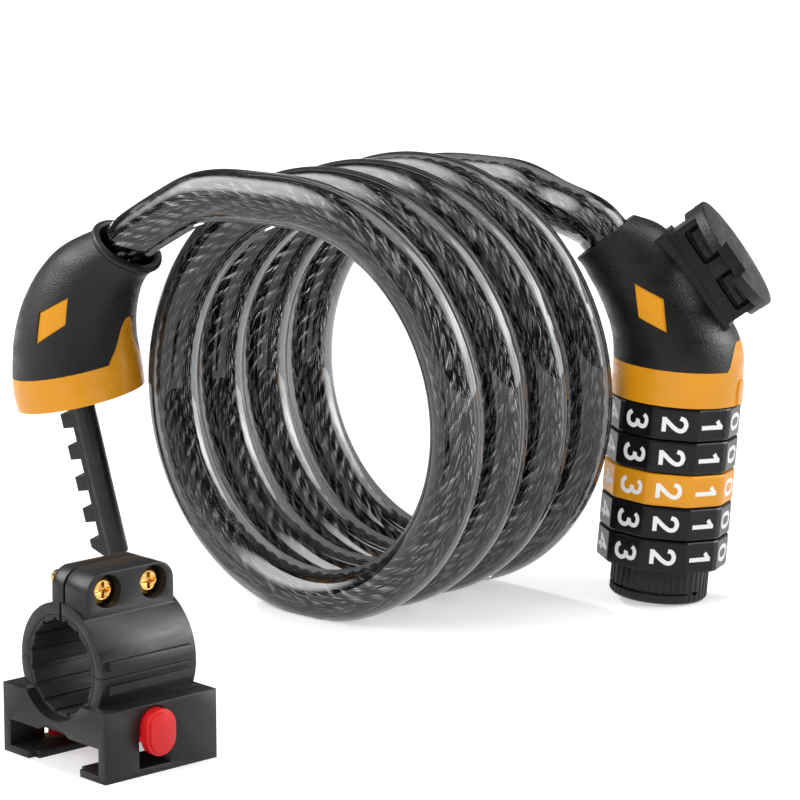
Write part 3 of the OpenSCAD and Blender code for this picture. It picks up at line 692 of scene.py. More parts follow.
@dataclass(frozen=True)
class ClearJacket(Finish):
    """Smoky clear PVC with a faint extrusion ripple."""

    index: float = 1.5
    ripple: float = 130.0
    ripple_depth: float = 0.00003

    def build(self) -> bpy.types.Material:
        """Make the material.

        Returns:
            The material.
        """
        graph, shader, place = self.start()
        graph.feed(shader, Transmission_Weight=1.0, IOR=self.index)
        self.bump(graph, shader, graph.noise(place, self.ripple, 1.0), self.ripple_depth)
        return graph.owner


@dataclass(frozen=True)
class WireRope(Finish):
    """Twisted steel wires, with painted shade between them and painted glints on their crowns."""

    # bright is the colour of the painted glints on the wire crowns
    bright: Colour = (0.92, 0.93, 0.95)
    metal: float = 0.85
    wires: float = 8.5
    slant: float = 15.3
    glints: float = 1.8
    tone_share: float = 0.05
    wire_depth: float = 0.00008

    def build(self) -> bpy.types.Material:
        """Make the material.

        Returns:
            The material.
        """
        graph, shader, _ = self.start()
        graph.feed(shader, Metallic=self.metal)
        lay = graph.add("ShaderNodeUVMap", uv_map="lay").outputs["UV"]
        wires = self.group(
            graph, "wire_lay", lay, Wires=self.wires, Slant=self.slant, Glints=self.glints
        )
        # the rope's own dark colour is painted shade between the wires; the Glint mask lays
        # painted glints over it, with a little random tone
        shown = graph.math("MULTIPLY_ADD", wires["Tone"], self.tone_share, wires["Glint"])
        self.two_tones(graph, shader, shown, self.bright)
        self.bump(graph, shader, wires["Height"], self.wire_depth)
        return graph.owner


class Palette:
    """Every finish of the lock, by name."""

    def __init__(self) -> None:
        """Build the node groups and the materials."""
        for make in (mould_grain_group, handling_group, wire_lay_group):
            make()
        black, satin = (0.0062, 0.0062, 0.0066), (0.009, 0.009, 0.0095)
        orange = (0.79, 0.325, 0.009)
        # name, colour, roughness, gloss, grain depth, grain scale, lift, gloss swing
        finishes: list[Finish] = [
            ClearJacket("clear_jacket", (0.15, 0.15, 0.153), 0.02),
            # steel_rope's near-black colour is painted shade between the wires, under its painted
            # glints
            WireRope("steel_rope", (0.011, 0.011, 0.012), 0.24),
            MouldedPlastic("black_plastic", black, 0.38, 0.3, 0.00011, 2600.0),
            MouldedPlastic("stud_plastic", satin, 0.38, 0.25, 0.00014, 1900.0),
            MouldedPlastic("orange_plastic", orange, 0.3, 0.4, 0.00002, 2600.0, 1.12),
            MouldedPlastic("wheel_black", black, 0.2, 0.22, 0.000006, 2600.0, 1.6, 0.04),
            MouldedPlastic("wheel_orange", orange, 0.3, 0.4, 0.000006, 2600.0, 1.12),
            MouldedPlastic("white_numeral", (0.96, 0.96, 0.95), 0.5, 0.3, 0.00001, 3000.0, 1.03),
            MouldedPlastic("black_rod", satin, 0.3, 0.3, 0.000012, 2000.0),
            MouldedPlastic("bracket_plastic", satin, 0.36, 0.28, 0.00002, 2200.0),
            MouldedPlastic("liner_rubber", (0.01, 0.01, 0.01), 0.6, 0.3, 0.00003, 1600.0),
            MouldedPlastic("red_plastic", (0.68, 0.01, 0.012), 0.32, 0.4, 0.00001, 2600.0, 1.1),
            Metal("crimp_aluminium", (0.62, 0.6, 0.57), 0.35),
            Metal("steel", (0.55, 0.55, 0.56), 0.28),
            Metal("spring_steel", (0.45, 0.45, 0.46), 0.3),
            Metal("cast_insert", (0.42, 0.42, 0.43), 0.5),
            Metal("brass", (0.82, 0.5, 0.15), 0.2),
        ]
        self.materials = {finish.name: finish.build() for finish in finishes}

    def dress(self, piece: bpy.types.Object, name: str) -> bpy.types.Object:
        """Give a piece one finish, all over.

        Args:
            piece: The piece.
            name: Name of the finish.

        Returns:
            The same piece.
        """
        piece.data.materials.clear()
        piece.data.materials.append(self.materials[name])
        return piece


# ---------------------------------------------------------------- placing


@dataclass(frozen=True)
class Placement:
    """Where a sub-assembly stands: its origin, its lean, its own turn and the way it leans."""

    at: Point
    lean: float
    turn: float
    lean_turn: float = 39.5

    def matrix(self) -> Matrix:
        """Turn and move a sub-assembly.

        Returns:
            Matrix from its own millimetres to the shared frame's metres.
        """
        x, y, z = self.at
        stand = Matrix.Translation(((x - ROW_SHIFT[0]) * MM, (y - ROW_SHIFT[1]) * MM, z * MM))
        lean = Matrix.Rotation(math.radians(self.lean), 4, "Y")
        way = Matrix.Rotation(math.radians(self.lean_turn), 4, "Z")
        turn = Matrix.Rotation(math.radians(self.turn - self.lean_turn), 4, "Z")
        return stand @ way @ lean @ turn @ Matrix.Scale(MM, 4)


@dataclass(frozen=True)
class Mouth:
    """Cable mouth of a head: its middle in the head's X-Z plane, its side and its lean."""

    x: float
    z: float
    side: int
    lean: float = 45.0

    def point(self, depth: float) -> Vector:
        """Point on the bore's axis.

        Args:
            depth: Its depth below the mouth.

        Returns:
            The point, in the head's frame.
        """
        a = math.radians(self.lean)
        down = depth * math.cos(a)
        return Vector((self.x - self.side * depth * math.sin(a), 0.0, self.z - down))

    def matrix(self) -> Matrix:
        """Frame whose +Z runs into the head along the cable."""
        turn = Matrix.Rotation(math.radians(180 + self.side * self.lean), 4, "Y")
        return Matrix.Translation((self.x, 0.0, self.z)) @ turn


PLUG_PLACE = Placement((-57.4, -27.4, 5.3), -12.0, 10.0)
PLUG_MOUTH = Mouth(21.9, 73.35, 1)
DIAL_PLACE = Placement((52.6, 39.5, 0.8), 4.4, 30.0)
DIAL_MOUTH = Mouth(-19.6, 82.7, -1)


@dataclass
class Workshop:
    """Places, dresses and registers finished pieces."""

    palette: Palette

    def deliver(
        self,
        piece: bpy.types.Object,
        name: str,
        finish: str,
        body: str,
        nodes: Sequence[str] = (),
    ) -> bpy.types.Object:
        """Hand over a finished piece.

        Args:
            piece: The piece, already in the shared frame's metres.
            name: Its name.
            finish: Name of its finish.
            body: Body that it rides on.
            nodes: CAD nodes that it stands for.

        Returns:
            The piece.
        """
        piece.name = piece.data.name = name
        self.palette.dress(shade(piece), finish)
        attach(piece, body)
        if nodes:
            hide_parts(*nodes)
        LOG.info("%s: %d faces, rides on %s", name, len(piece.data.polygons), body)
        return piece


# ---------------------------------------------------------------- cable


@dataclass
class Cable:
    """Clear jacket over a twisted wire rope, from the plug's mouth to the dial head's.

    The coil draws in over its last part of a turn. The bends are points between the coil and the
    heads. The Pairs say how far jacket and rope go into the plug and into the dial head.
    """

    shop: Workshop
    radius: float = 6.0
    slack: float = 0.02
    rope_radius: float = 2.8
    coil_radius: float = 46.0
    pitch: float = 15.8
    draw_in: float = 2.0
    draw_turns: float = 0.5
    turns: int = 4
    coil_height: float = 50.8
    end_straight: float = 12.0
    end_gap: float = 3.0
    turn_points: int = 48
    plug_lead: float = 3.5
    plug_bend: tuple[Point, ...] = ((-28.4, -32.9, 94.0), (-21.0, -32.7, 96.2))
    dial_lead: float = 4.5
    dial_bend: tuple[Point, ...] = ((20.4, 32.6, 93.4), (26.6, 32.9, 91.0))
    jacket_in: Pair = (7.0, 9.0)
    rope_in: Pair = (13.0, 17.0)
    step: float = 1.25
    dense_steps: int = 8
    even_rounds: int = 2
    smooth_rounds: int = 3
    jacket_sides: int = 40
    rope_sides: int = 72
    strands: int = 6
    strand_share: float = 0.4
    lay: float = 25.0
    foot_gap: float = 0.1

    def coil_point(self, turn: float) -> Vector:
        """Middle of the cable in the coil.

        Args:
            turn: Number of turns from the first top.

        Returns:
            The point, in the coil's frame.
        """
        last = (turn - self.turns + self.draw_turns) / self.draw_turns
        r = self.coil_radius - self.draw_in * ease(last)
        a = math.tau * turn
        y = self.pitch * (turn - self.turns / 2)
        return Vector((r * math.sin(a), y, self.coil_height + r * math.cos(a)))

    def in_coil(self, place: Placement, point: Vector) -> Vector:
        """Point of a head's frame, in the coil's frame."""
        p = place.matrix() @ point / MM
        return p + Vector((*ROW_SHIFT, 0.0))

    def control_points(self, plug_in: float, dial_in: float) -> list[Vector]:
        """Points that the cable's middle passes through, in the coil's frame.

        Args:
            plug_in: How far it goes into the plug.
            dial_in: How far it goes into the dial head.

        Returns:
            The points, from the plug to the dial head.
        """
        lead = Vector((1.0, self.pitch / (math.tau * self.coil_radius), 0.0)).normalized()
        start = self.coil_point(0) - lead * self.end_straight
        end = self.coil_point(self.turns) + lead * self.end_straight
        plug_depths = (plug_in, self.plug_lead, 0.0, -self.plug_lead)
        dial_depths = (-self.dial_lead, 0.0, self.dial_lead, dial_in)
        fine = self.turn_points * self.turns
        return [
            *(self.in_coil(PLUG_PLACE, PLUG_MOUTH.point(s)) for s in plug_depths),
            *(Vector(p) for p in self.plug_bend),
            start - lead * self.end_gap,
            start,
            start + lead * self.end_straight / 2,
            *(self.coil_point(self.turns * k / fine) for k in range(fine + 1)),
            end - lead * self.end_straight / 2,
            end,
            end + lead * self.end_gap,
            *(Vector(p) for p in self.dial_bend),
            *(self.in_coil(DIAL_PLACE, DIAL_MOUTH.point(s)) for s in dial_depths),
        ]

    def middle(self, plug_in: float, dial_in: float) -> np.ndarray:
        """Evenly spaced points along the cable's middle.

        Args:
            plug_in: How far it goes into the plug.
            dial_in: How far it goes into the dial head.

        Returns:
            The points, in the coil's frame.
        """
        rows = self.control_points(plug_in, dial_in)
        fine = self.dense_steps
        line = np.array([on_curve(rows, k / fine) for k in range(fine * (len(rows) - 1) + 1)])
        for _ in range(self.even_rounds):
            run = np.r_[0, np.cumsum(np.linalg.norm(np.diff(line, axis=0), axis=1))]
            places = np.linspace(0, run[-1], round(run[-1] / self.step) + 1)
            line = np.stack([np.interp(places, run, line[:, k]) for k in range(3)], axis=1)
            for _ in range(self.smooth_rounds):
                line[1:-1] = (line[:-2] + 2 * line[1:-1] + line[2:]) / 4
        return line

    def frames(self, line: np.ndarray) -> tuple[np.ndarray, np.ndarray, np.ndarray]:
        """Axes along a line that don't turn about it.

        Args:
            line: Points along the line.

        Returns:
            At each point the direction ahead, to the side and up.
        """
        ahead = np.gradient(line, axis=0)
        ahead /= np.linalg.norm(ahead, axis=1, keepdims=True)
        side = np.zeros_like(line)
        side[0] = np.cross(ahead[0], (0.0, 1.0, 0.0))
        for i in range(1, len(line)):
            side[i] = side[i - 1] - ahead[i] * (side[i - 1] @ ahead[i])
            side[i] /= np.linalg.norm(side[i])
        side[0] /= np.linalg.norm(side[0])
        return ahead, side, np.cross(ahead, side)

    def tube(
        self, name: str, line: np.ndarray, radii: np.ndarray, twist: float
    ) -> bpy.types.Object:
        """Closed tube round a line.

        Args:
            name: Name of the new piece.
            line: Points along its middle.
            radii: Radius of each of its sides.
            twist: How far the sides turn from ring to ring, in radians.

        Returns:
            The closed mesh.
        """
        _, side, up = self.frames(line)
        count, sides = len(line), len(radii)
        angles = np.linspace(0, math.tau, sides, endpoint=False)[None, :]
        angles = angles + twist * np.arange(count)[:, None]
        spokes = np.cos(angles)[:, :, None] * side[:, None, :]
        spokes = spokes + np.sin(angles)[:, :, None] * up[:, None, :]
        points = line[:, None, :] + radii[None, :, None] * spokes
        points[:, :, 2] = np.maximum(points[:, :, 2], self.foot_gap)
        points = points.reshape(-1, 3)
        i, k = np.meshgrid(np.arange(count - 1), np.arange(sides), indexing="ij")
        j = (k + 1) % sides
        quads = np.stack(
            [i * sides + k, i * sides + j, (i + 1) * sides + j, (i + 1) * sides + k], axis=-1
        )
        faces = [tuple(q) for q in quads.reshape(-1, 4).tolist()]
        faces.append(tuple(reversed(range(sides))))
        faces.append(tuple(range((count - 1) * sides, count * sides)))
        return mesh_piece(name, points.tolist(), faces)

    def to_frame(self, piece: bpy.types.Object) -> bpy.types.Object:
        """Move a piece from the coil's millimetres to the shared frame's metres."""
        shift = Matrix.Translation((-ROW_SHIFT[0] * MM, -ROW_SHIFT[1] * MM, 0.0))
        return moved(piece, shift @ Matrix.Scale(MM, 4))

    def make_jacket(self, line: np.ndarray) -> bpy.types.Object:
        """The clear jacket."""
        radii = np.full(self.jacket_sides, self.radius - self.slack)
        return self.to_frame(self.tube("cable_jacket", line, radii, 0.0))

    def make_rope(self, line: np.ndarray) -> bpy.types.Object:
        """Strands laid round each other, with a map of strand and length on them.

        Args:
            line: Points along the rope's middle.

        Returns:
            The rope.
        """
        strand = self.rope_radius * self.strand_share
        offset = self.rope_radius - strand
        share = np.arange(self.rope_sides) / self.rope_sides * self.strands
        angle = (share - np.round(share)) * math.tau / self.strands
        radii = offset * np.cos(angle) + np.sqrt(strand**2 - (offset * np.sin(angle)) ** 2)
        twist = math.tau * self.step / self.lay
        rope = self.tube("wire_rope", line, radii, twist)
        self.map_lay(rope, len(line))
        return self.to_frame(rope)

    def map_lay(self, rope: bpy.types.Object, count: int) -> None:
        """Write the map: strand across, and length in centimetres along.

        Args:
            rope: The rope.
            count: Number of points along its middle.
        """
        sides = self.rope_sides
        i, k = np.meshgrid(np.arange(count - 1), np.arange(sides), indexing="ij")
        rows = np.stack([i, i, i + 1, i + 1], axis=-1).reshape(-1)
        columns = np.stack([k, k + 1, k + 1, k], axis=-1).reshape(-1)
        flat = np.zeros((len(rope.data.loops), 2), np.float32)
        flat[: len(columns), 0] = columns / sides * self.strands
        flat[: len(rows), 1] = rows * self.step / CM
        layer = rope.data.uv_layers.new(name="lay")
        layer.data.foreach_set("uv", flat.ravel())

    def build(self) -> None:
        line = self.middle(*self.jacket_in)
        jacket = self.shop.deliver(
            self.make_jacket(line),
            "cable_jacket",
            "clear_jacket",
            "lock",
            ("cable_jacket_coil", "cable_jacket_plug_end", "cable_jacket_dial_end"),
        )
        shade(jacket, CREASE_ANGLE)
        rope = self.shop.deliver(
            self.make_rope(self.middle(*self.rope_in)),
            "wire_rope",
            "steel_rope",
            "lock",
            ("wire_rope_coil", "wire_rope_plug_end", "wire_rope_dial_end"),
        )
        path = (line - np.array((*ROW_SHIFT, 0.0))) * MM
        length = float(np.linalg.norm(np.diff(path, axis=0), axis=1).sum())
        LOG.info("cable length %.3f m", length)


# ---------------------------------------------------------------- heads


@dataclass
class Head:
    """What both heads share: a lofted elbow, a collar, inlays and a cable mouth.

    A section holds X and Z of its left end, X and Z of its right end, and half its width in Y.
    Tools stand past or clear of the faces that they cut through, so that none of them coincide.
    """

    shop: Workshop
    place: Placement
    mouth: Mouth
    sections: tuple[tuple[float, ...], ...]
    inlay: tuple[Pair, ...]
    inlay_floor: float
    bore_radius: float
    jacket_in: float
    ferrule_end: float
    ferrule_radius: float = 5.3
    bore_room: float = 0.3
    ferrule_room: float = 0.1
    outside: float = 4.0
    past: float = 1.0
    clear: float = 3.0
    inlay_gap: float = 0.1
    inlay_sink: float = 0.35
    inlay_edge: float = 0.2
    seam: float = 0.05
    sides: int = 96
    steps: int = 8
    reach: float = 30.0
    far: float = 60.0

    def form(self, name: str, grow: float = 0.0) -> bpy.types.Object:
        """The elbow's outer form through its sections.

        Args:
            name: Name of the new piece.
            grow: How much larger it is all round.

        Returns:
            The closed mesh, in the head's frame.
        """
        rings = []
        for k in range((len(self.sections) - 1) * self.steps + 1):
            left, left_z, right, right_z, half = on_curve(self.sections, k / self.steps)
            width = math.hypot(right - left, right_z - left_z)
            ux, uz = (right - left) / width, (right_z - left_z) / width
            ring = []
            for n in range(self.sides):
                q = math.tau * n / self.sides
                a = (width / 2 + grow) * math.cos(q)
                y = -(half + grow) * math.sin(q)
                ring.append(((left + right) / 2 + a * ux, y, (left_z + right_z) / 2 + a * uz))
            rings.append(ring)
        return loft(name, rings)

    def in_place(self, piece: bpy.types.Object) -> bpy.types.Object:
        """Move a piece from the head's frame to the shared frame."""
        return moved(piece, self.place.matrix())

    def below(self, low: float, top: float) -> bpy.types.Object:
        """Block across the whole head, between two heights."""
        return block((-self.reach, -self.reach, low), (self.reach, self.reach, top))

    def bores(self) -> list[bpy.types.Object]:
        """Tools for the cable's jacket and its crimped sleeve.

        Returns:
            The two tools, in the head's frame.
        """
        jacket = drum(self.bore_radius, -self.outside, self.jacket_in + self.bore_room)
        sleeve = drum(self.ferrule_radius, 0.0, self.ferrule_end + self.ferrule_room)
        return [moved(tool, self.mouth.matrix()) for tool in (jacket, sleeve)]

    def inlay_tools(self, grow: float) -> list[bpy.types.Object]:
        """Rhombus prisms beyond the inlay's floor, on both sides.

        Args:
            grow: How much larger than the inlay the rhombus is; 0 for the inlay itself.

        Returns:
            The two prisms.
        """
        middle = Vector(np.mean(self.inlay, axis=0))
        corners = [Vector(c) - middle for c in self.inlay]
        outline = [tuple(middle + c * (1 + grow * math.sqrt(2) / c.length)) for c in corners]
        floor = self.inlay_floor + (0.0 if grow else self.inlay_gap)
        return [
            prism_along_y(outline, floor, self.far),
            prism_along_y(outline, -self.far, -floor),
        ]

    def make_inlays(self) -> bpy.types.Object:
        """Two rhombus inlays, a little below the elbow's surface.

        Returns:
            Both inlays as one piece, in the shared frame.
        """
        inlays = [
            carve(self.form("inlay_form", -self.inlay_sink), [tool], Cut.INSIDE)
            for tool in self.inlay_tools(0.0)
        ]
        return self.in_place(round_edges(join("inlays", inlays), self.inlay_edge))


@dataclass
class PlugHead(Head):
    """Plug: elbow, collar with a tongue, rolled lip and toothed rod."""

    place: Placement = PLUG_PLACE
    mouth: Mouth = PLUG_MOUTH
    sections: tuple[tuple[float, ...], ...] = (
        (-15.4, 39.8, 15.4, 39.8, 15.4),
        (-15.1, 45.8, 16.0, 45.3, 15.5),
        (-13.3, 53.1, 16.4, 50.8, 14.8),
        (-11.3, 58.6, 17.7, 55.8, 14.1),
        (-7.5, 65.3, 19.9, 60.3, 12.9),
        (-1.7, 71.7, 22.5, 63.9, 11.3),
        (5.6, 76.4, 25.2, 66.2, 9.7),
        (16.0, 79.2, 27.8, 67.4, 8.4),
    )
    inlay: tuple[Pair, ...] = ((11.2, 65.8), (3.1, 63.2), (1.2, 56.2), (9.4, 59.6))
    inlay_floor: float = 9.6
    bore_radius: float = 6.9
    jacket_in: float = 7.0
    ferrule_end: float = 19.0
    rod_reach: float = 39.8
    rod_edge: float = 0.3
    collar_height: float = 8.0
    socket_radius: float = 12.3
    socket_depth: float = 13.2
    insert_radius: float = 7.1
    insert_top: float = 20.2
    lip: float = 1.0
    lip_lift: float = 0.1
    lip_foot: Pair = (1.5, -0.1)
    tongue_half: tuple[Pair, ...] = (
        (6.9, -1.0),
        (6.2, 0.6),
        (4.5, 2.6),
        (3.2, 5.0),
        (2.3, 7.6),
        (1.1, 9.6),
    )
    tongue_span: Pair = (8.0, 48.0)

    def tongue(self, grow: float) -> bpy.types.Object:
        """The collar's tongue, on the mouth's side.

        Args:
            grow: How much larger it is all round.

        Returns:
            The closed mesh.
        """
        top = self.rod_reach + self.collar_height
        tip = self.tongue_half[-1]
        right = [
            (y + grow, top + z + (grow if (y, z) == tip else 0)) for y, z in self.tongue_half
        ]
        left = [(-y, z) for y, z in reversed(right)]
        low, high = self.tongue_span
        return prism_along_x([*right, *left], low - grow, high)

    def band(self, grow: float) -> bpy.types.Object:
        """Everything below the collar's upper edge."""
        top = self.rod_reach + self.collar_height + grow
        return self.below(self.rod_reach - self.past, top)

    def socket_tool(self) -> bpy.types.Object:
        """Tool for the socket that goes over the end knob."""
        low = self.rod_reach - self.past
        return drum(self.socket_radius, low, low + self.socket_depth)

    def make_shell(self) -> bpy.types.Object:
        """The black elbow.

        Returns:
            The piece, in the shared frame.
        """
        tools = [
            self.band(self.seam),
            self.tongue(self.seam),
            self.socket_tool(),
            drum(self.insert_radius, 0, self.rod_reach + self.insert_top),
            *self.bores(),
            *self.inlay_tools(self.inlay_gap),
        ]
        return self.in_place(carve(self.form("plug_shell"), tools))

    def make_collar(self) -> bpy.types.Object:
        """The orange collar.

        Returns:
            The piece, in the shared frame.
        """
        space = carve(self.band(-self.seam), [self.tongue(-self.seam)], Cut.ADD)
        collar = carve(self.form("plug_band"), [space], Cut.INSIDE)
        return self.in_place(carve(collar, [self.socket_tool(), *self.bores()]))

    def make_lip(self) -> bpy.types.Object:
        """Rolled lip round the cable's mouth.

        Returns:
            The piece, in the shared frame.
        """
        inner, roll, (width, foot) = self.bore_radius, self.lip, self.lip_foot
        crown = arc((inner + roll, self.lip_lift - roll), roll, 180, 380, 14)
        profile = [(inner, foot), *crown, (inner + width, foot)]
        return moved(lathe("lip", profile), self.place.matrix() @ self.mouth.matrix())

    def make_rod(self) -> bpy.types.Object:
        """The toothed rod, with softened edges."""
        return softened_copy("locking_rod", self.rod_edge)

    def build(self) -> None:
        """Make the head."""
        for make, name, finish, node in (
            (self.make_shell, "plug_shell", "black_plastic", "plug_housing"),
            (self.make_collar, "plug_band", "orange_plastic", "plug_collar"),
            (self.make_inlays, "plug_inlay_pair", "orange_plastic", "plug_inlays"),
            (self.make_lip, "plug_lip", "black_plastic", "plug_mouth_ring"),
            (self.make_rod, "toothed_rod", "black_rod", "locking_rod"),
        ):
            self.shop.deliver(make(), name, finish, "lock", (node,))


@dataclass(frozen=True)
class Stroke:
    """Stroke of a numeral in a box 0.62 wide and 1 tall: its points, and whether it curves."""

    points: tuple[Pair, ...]
    smooth: bool = True


ROUND_NINE = (
    (0.12, 0.07), (0.3, 0.0), (0.47, 0.1), (0.57, 0.35), (0.6, 0.68), (0.52, 0.92), (0.31, 1.0),
    (0.1, 0.92), (0.02, 0.69), (0.1, 0.47), (0.3, 0.39), (0.5, 0.48), (0.59, 0.62),
)
NUMERALS = {
    0: (
        Stroke(((0.31, 1.0), (0.1, 0.9), (0.02, 0.5), (0.1, 0.1), (0.31, 0.0), (0.52, 0.1),
                (0.6, 0.5), (0.52, 0.9), (0.31, 1.0))),
    ),
    1: (
        Stroke(((0.4, -0.08), (0.4, 1.08)), False),
        Stroke(((0.4, 0.98), (0.12, 0.76)), False),
    ),
    2: (
        Stroke(((0.02, 0.72), (0.08, 0.91), (0.29, 1.0), (0.51, 0.91), (0.56, 0.7), (0.44, 0.46),
                (0.24, 0.22), (0.08, 0.02))),
        Stroke(((0.0, 0.01), (0.64, 0.01)), False),
    ),
    3: (
        Stroke(((0.04, 0.84), (0.14, 0.96), (0.3, 1.0), (0.5, 0.93), (0.56, 0.75), (0.48, 0.58),
                (0.3, 0.53))),
        Stroke(((0.28, 0.53), (0.5, 0.48), (0.6, 0.28), (0.5, 0.06), (0.28, 0.0), (0.1, 0.05),
                (0.0, 0.18))),
    ),
    4: (
        Stroke(((0.44, -0.08), (0.44, 1.08)), False),
        Stroke(((0.44, 1.0), (0.02, 0.3)), False),
        Stroke(((-0.06, 0.28), (0.64, 0.28)), False),
    ),
    5: (
        Stroke(((0.58, 0.99), (0.1, 0.99)), False),
        Stroke(((0.1, 1.06), (0.07, 0.5)), False),
        Stroke(((0.07, 0.54), (0.26, 0.62), (0.48, 0.56), (0.59, 0.33), (0.5, 0.07), (0.28, 0.0),
                (0.1, 0.04), (0.0, 0.16))),
    ),
    6: (Stroke(tuple((0.62 - x, 1.0 - y) for x, y in ROUND_NINE)),),
    7: (
        Stroke(((0.0, 0.99), (0.62, 0.99)), False),
        Stroke(((0.57, 1.0), (0.4, 0.62), (0.28, 0.3), (0.22, -0.08))),
    ),
    8: (
        Stroke(((0.31, 1.0), (0.12, 0.94), (0.06, 0.77), (0.14, 0.6), (0.31, 0.54), (0.48, 0.6),
                (0.56, 0.77), (0.5, 0.94), (0.31, 1.0))),
        Stroke(((0.31, 0.54), (0.1, 0.46), (0.01, 0.27), (0.1, 0.07), (0.31, 0.0), (0.52, 0.07),
                (0.61, 0.27), (0.52, 0.46), (0.31, 0.54))),
    ),
    9: (Stroke(ROUND_NINE),),
}


@dataclass
class DialHead(Head):
    """Dial head: elbow, collar, number wheels, end knob and carrier stud."""

    place: Placement = DIAL_PLACE
    mouth: Mouth = DIAL_MOUTH
    sections: tuple[tuple[float, ...], ...] = (
        (-15.1, 47.45, 15.1, 47.45, 15.1),
        (-15.4, 57.0, 14.9, 57.4, 15.2),
        (-16.5, 62.2, 13.1, 63.0, 14.7),
        (-18.2, 66.2, 9.9, 67.6, 13.9),
        (-20.4, 70.2, 4.7, 74.2, 12.6),
        (-22.5, 73.2, -0.7, 81.0, 11.0),
        (-24.1, 75.5, -7.0, 86.5, 9.6),
        (-25.7, 77.1, -13.5, 88.3, 8.7),
    )
    inlay: tuple[Pair, ...] = ((-3.9, 71.65), (-10.9, 74.45), (-9.2, 66.95), (-2.35, 64.4))
    inlay_floor: float = 9.4
    bore_radius: float = 6.3
    jacket_in: float = 9.0
    ferrule_end: float = 25.0
    fine_sides: int = 144

    collar_z: float = 47.45
    collar_height: float = 8.3
    collar_bore: float = 9.4
    tongue_edge: tuple[Pair, ...] = (
        (11.8, -2.0),
        (12.0, 0.1),
        (12.35, 1.0),
        (12.6, 3.0),
        (12.75, 5.2),
        (12.85, 6.4),
    )
    tongue_half: float = 13.0
    core_flange: Pair = (11.0, 6.3)
    barrel_radius: float = 4.45
    barrel_room: Pair = (0.05, 0.2)
    index_turn: float = -12.0
    index_width: float = 4.0
    index_drop: float = 2.4
    index_round: float = 1.6
    index_rise: float = 0.38
    index_edge: float = 0.3

    digits: int = 10
    wheel_count: int = 5
    orange_wheel: int = 3
    wheel_radius: float = 15.1
    flat_radius: float = 14.6
    wheel_pitch: float = 7.8
    wheel_gap: float = 0.3
    wheel_bore: float = 9.0
    wheel_rim: tuple[Pair, ...] = ((0.55, 0.0), (0.2, 0.12), (0.04, 0.45), (0.0, 0.9))
    key_half: float = 1.1
    key_depth: float = 1.3
    digit_height: float = 6.1
    digit_middle: Pair = (0.31, 0.5)
    digit_stretch: float = 1.05
    digit_sink: float = 0.02
    stroke: float = 1.0
    stroke_rise: Pair = (0.05, 0.004)
    stroke_steps: int = 8

    knob_radius: float = 11.2
    knob_height: float = 8.0
    knob_hollow: Pair = (7.2, 2.4)
    knob_foot: float = 0.8
    knob_top: float = 0.3
    knob_sides: int = 126
    ribs: int = 42
    rib_radius: float = 0.4
    rib_sink: float = 0.16
    rib_foot: float = 0.7
    slit: Pair = (2.2, 2.9)
    slit_ends: Pair = (-31.5, 108.5)
    slit_depth: float = 0.8
    slit_steps: int = 6

    stud_at: Pair = (3.5, 76.2)
    stud_lean: float = 50.3
    stud_height: float = 4.6
    stud_length: float = 24.4
    stud_width: float = 13.0
    stud_root: float = -7.0
    stud_edge: float = 0.2
    stud_clear: float = 20.0
    seat_gap: float = 0.05
    skirt: Point = (0.9, 0.35, -0.4)
    flange: float = 2.4
    disc_radius: float = 14.0
    disc_thickness: float = 2.6
    disc_seam: float = 0.1
    disc_rim: float = 0.45
    disc_dome: tuple[Pair, ...] = ((0.9, 0.08), (0.6, 0.25), (0.0, 0.35))
    disc_edge: float = 0.12
    disc_edge_angle: float = 50.0
    notch_width: float = 7.8
    window: Pair = (9.0, 4.3)
    window_at: float = 6.35
    window_depth: float = 3.0
    window_corner: float = 1.0
    leg: Pair = (7.4, 3.4)
    leg_inset: float = 0.8
    leg_edge: float = 0.6
    barb_from: float = 0.6
    barb_inset: float = 0.45
    barb_height: float = 1.9
    barb_edge: float = 0.4

    def band(self, grow: float) -> bpy.types.Object:
        """Everything below the collar's upper edge."""
        return self.below(self.collar_z - self.past, self.collar_z + self.collar_height + grow)

    def tongue(self, grow: float) -> bpy.types.Object:
        """The collar's tongue, on the outer side.

        Args:
            grow: How much larger it is all round.

        Returns:
            The closed mesh.
        """
        top = self.collar_z + self.collar_height
        low, tip = self.tongue_edge[0][1], self.tongue_edge[-1][1]
        edge = [
            (x - grow, top + z + (grow if z == tip else 0.0)) for x, z in self.tongue_edge
        ]
        outline = [*edge, (self.reach, top + tip + grow), (self.reach, top + low)]
        return prism_along_y(outline, -self.tongue_half - grow, self.tongue_half + grow)

    def flange_tool(self) -> bpy.types.Object:
        """Tool for the core barrel's flange."""
        radius, height = self.core_flange
        return drum(radius, self.collar_z - self.past, self.collar_z + height)

    def barrel_tool(self) -> bpy.types.Object:
        """Tool for the core barrel."""
        aside, above = self.barrel_room
        return drum(self.barrel_radius + aside, 0, self.collar_z + self.collar_height + above)

    def make_shell(self) -> bpy.types.Object:
        """The black elbow.

        Returns:
            The piece, in the shared frame.
        """
        tools = [
            self.band(self.seam),
            self.tongue(self.seam),
            self.flange_tool(),
            self.barrel_tool(),
            *self.bores(),
            *self.inlay_tools(self.inlay_gap),
        ]
        return self.in_place(carve(self.form("dial_shell"), tools))

    def make_collar(self) -> bpy.types.Object:
        """The orange collar with its raised index rib.

        Returns:
            The piece, in the shared frame.
        """
        space = carve(self.band(-self.seam), [self.tongue(-self.seam)], Cut.ADD)
        collar = carve(self.form("dial_band"), [space], Cut.INSIDE)
        carve(collar, [self.index_rib()], Cut.ADD)
        bore = drum(self.collar_bore, self.collar_z, self.collar_z + self.reach)
        return self.in_place(carve(collar, [self.flange_tool(), bore, *self.bores()]))

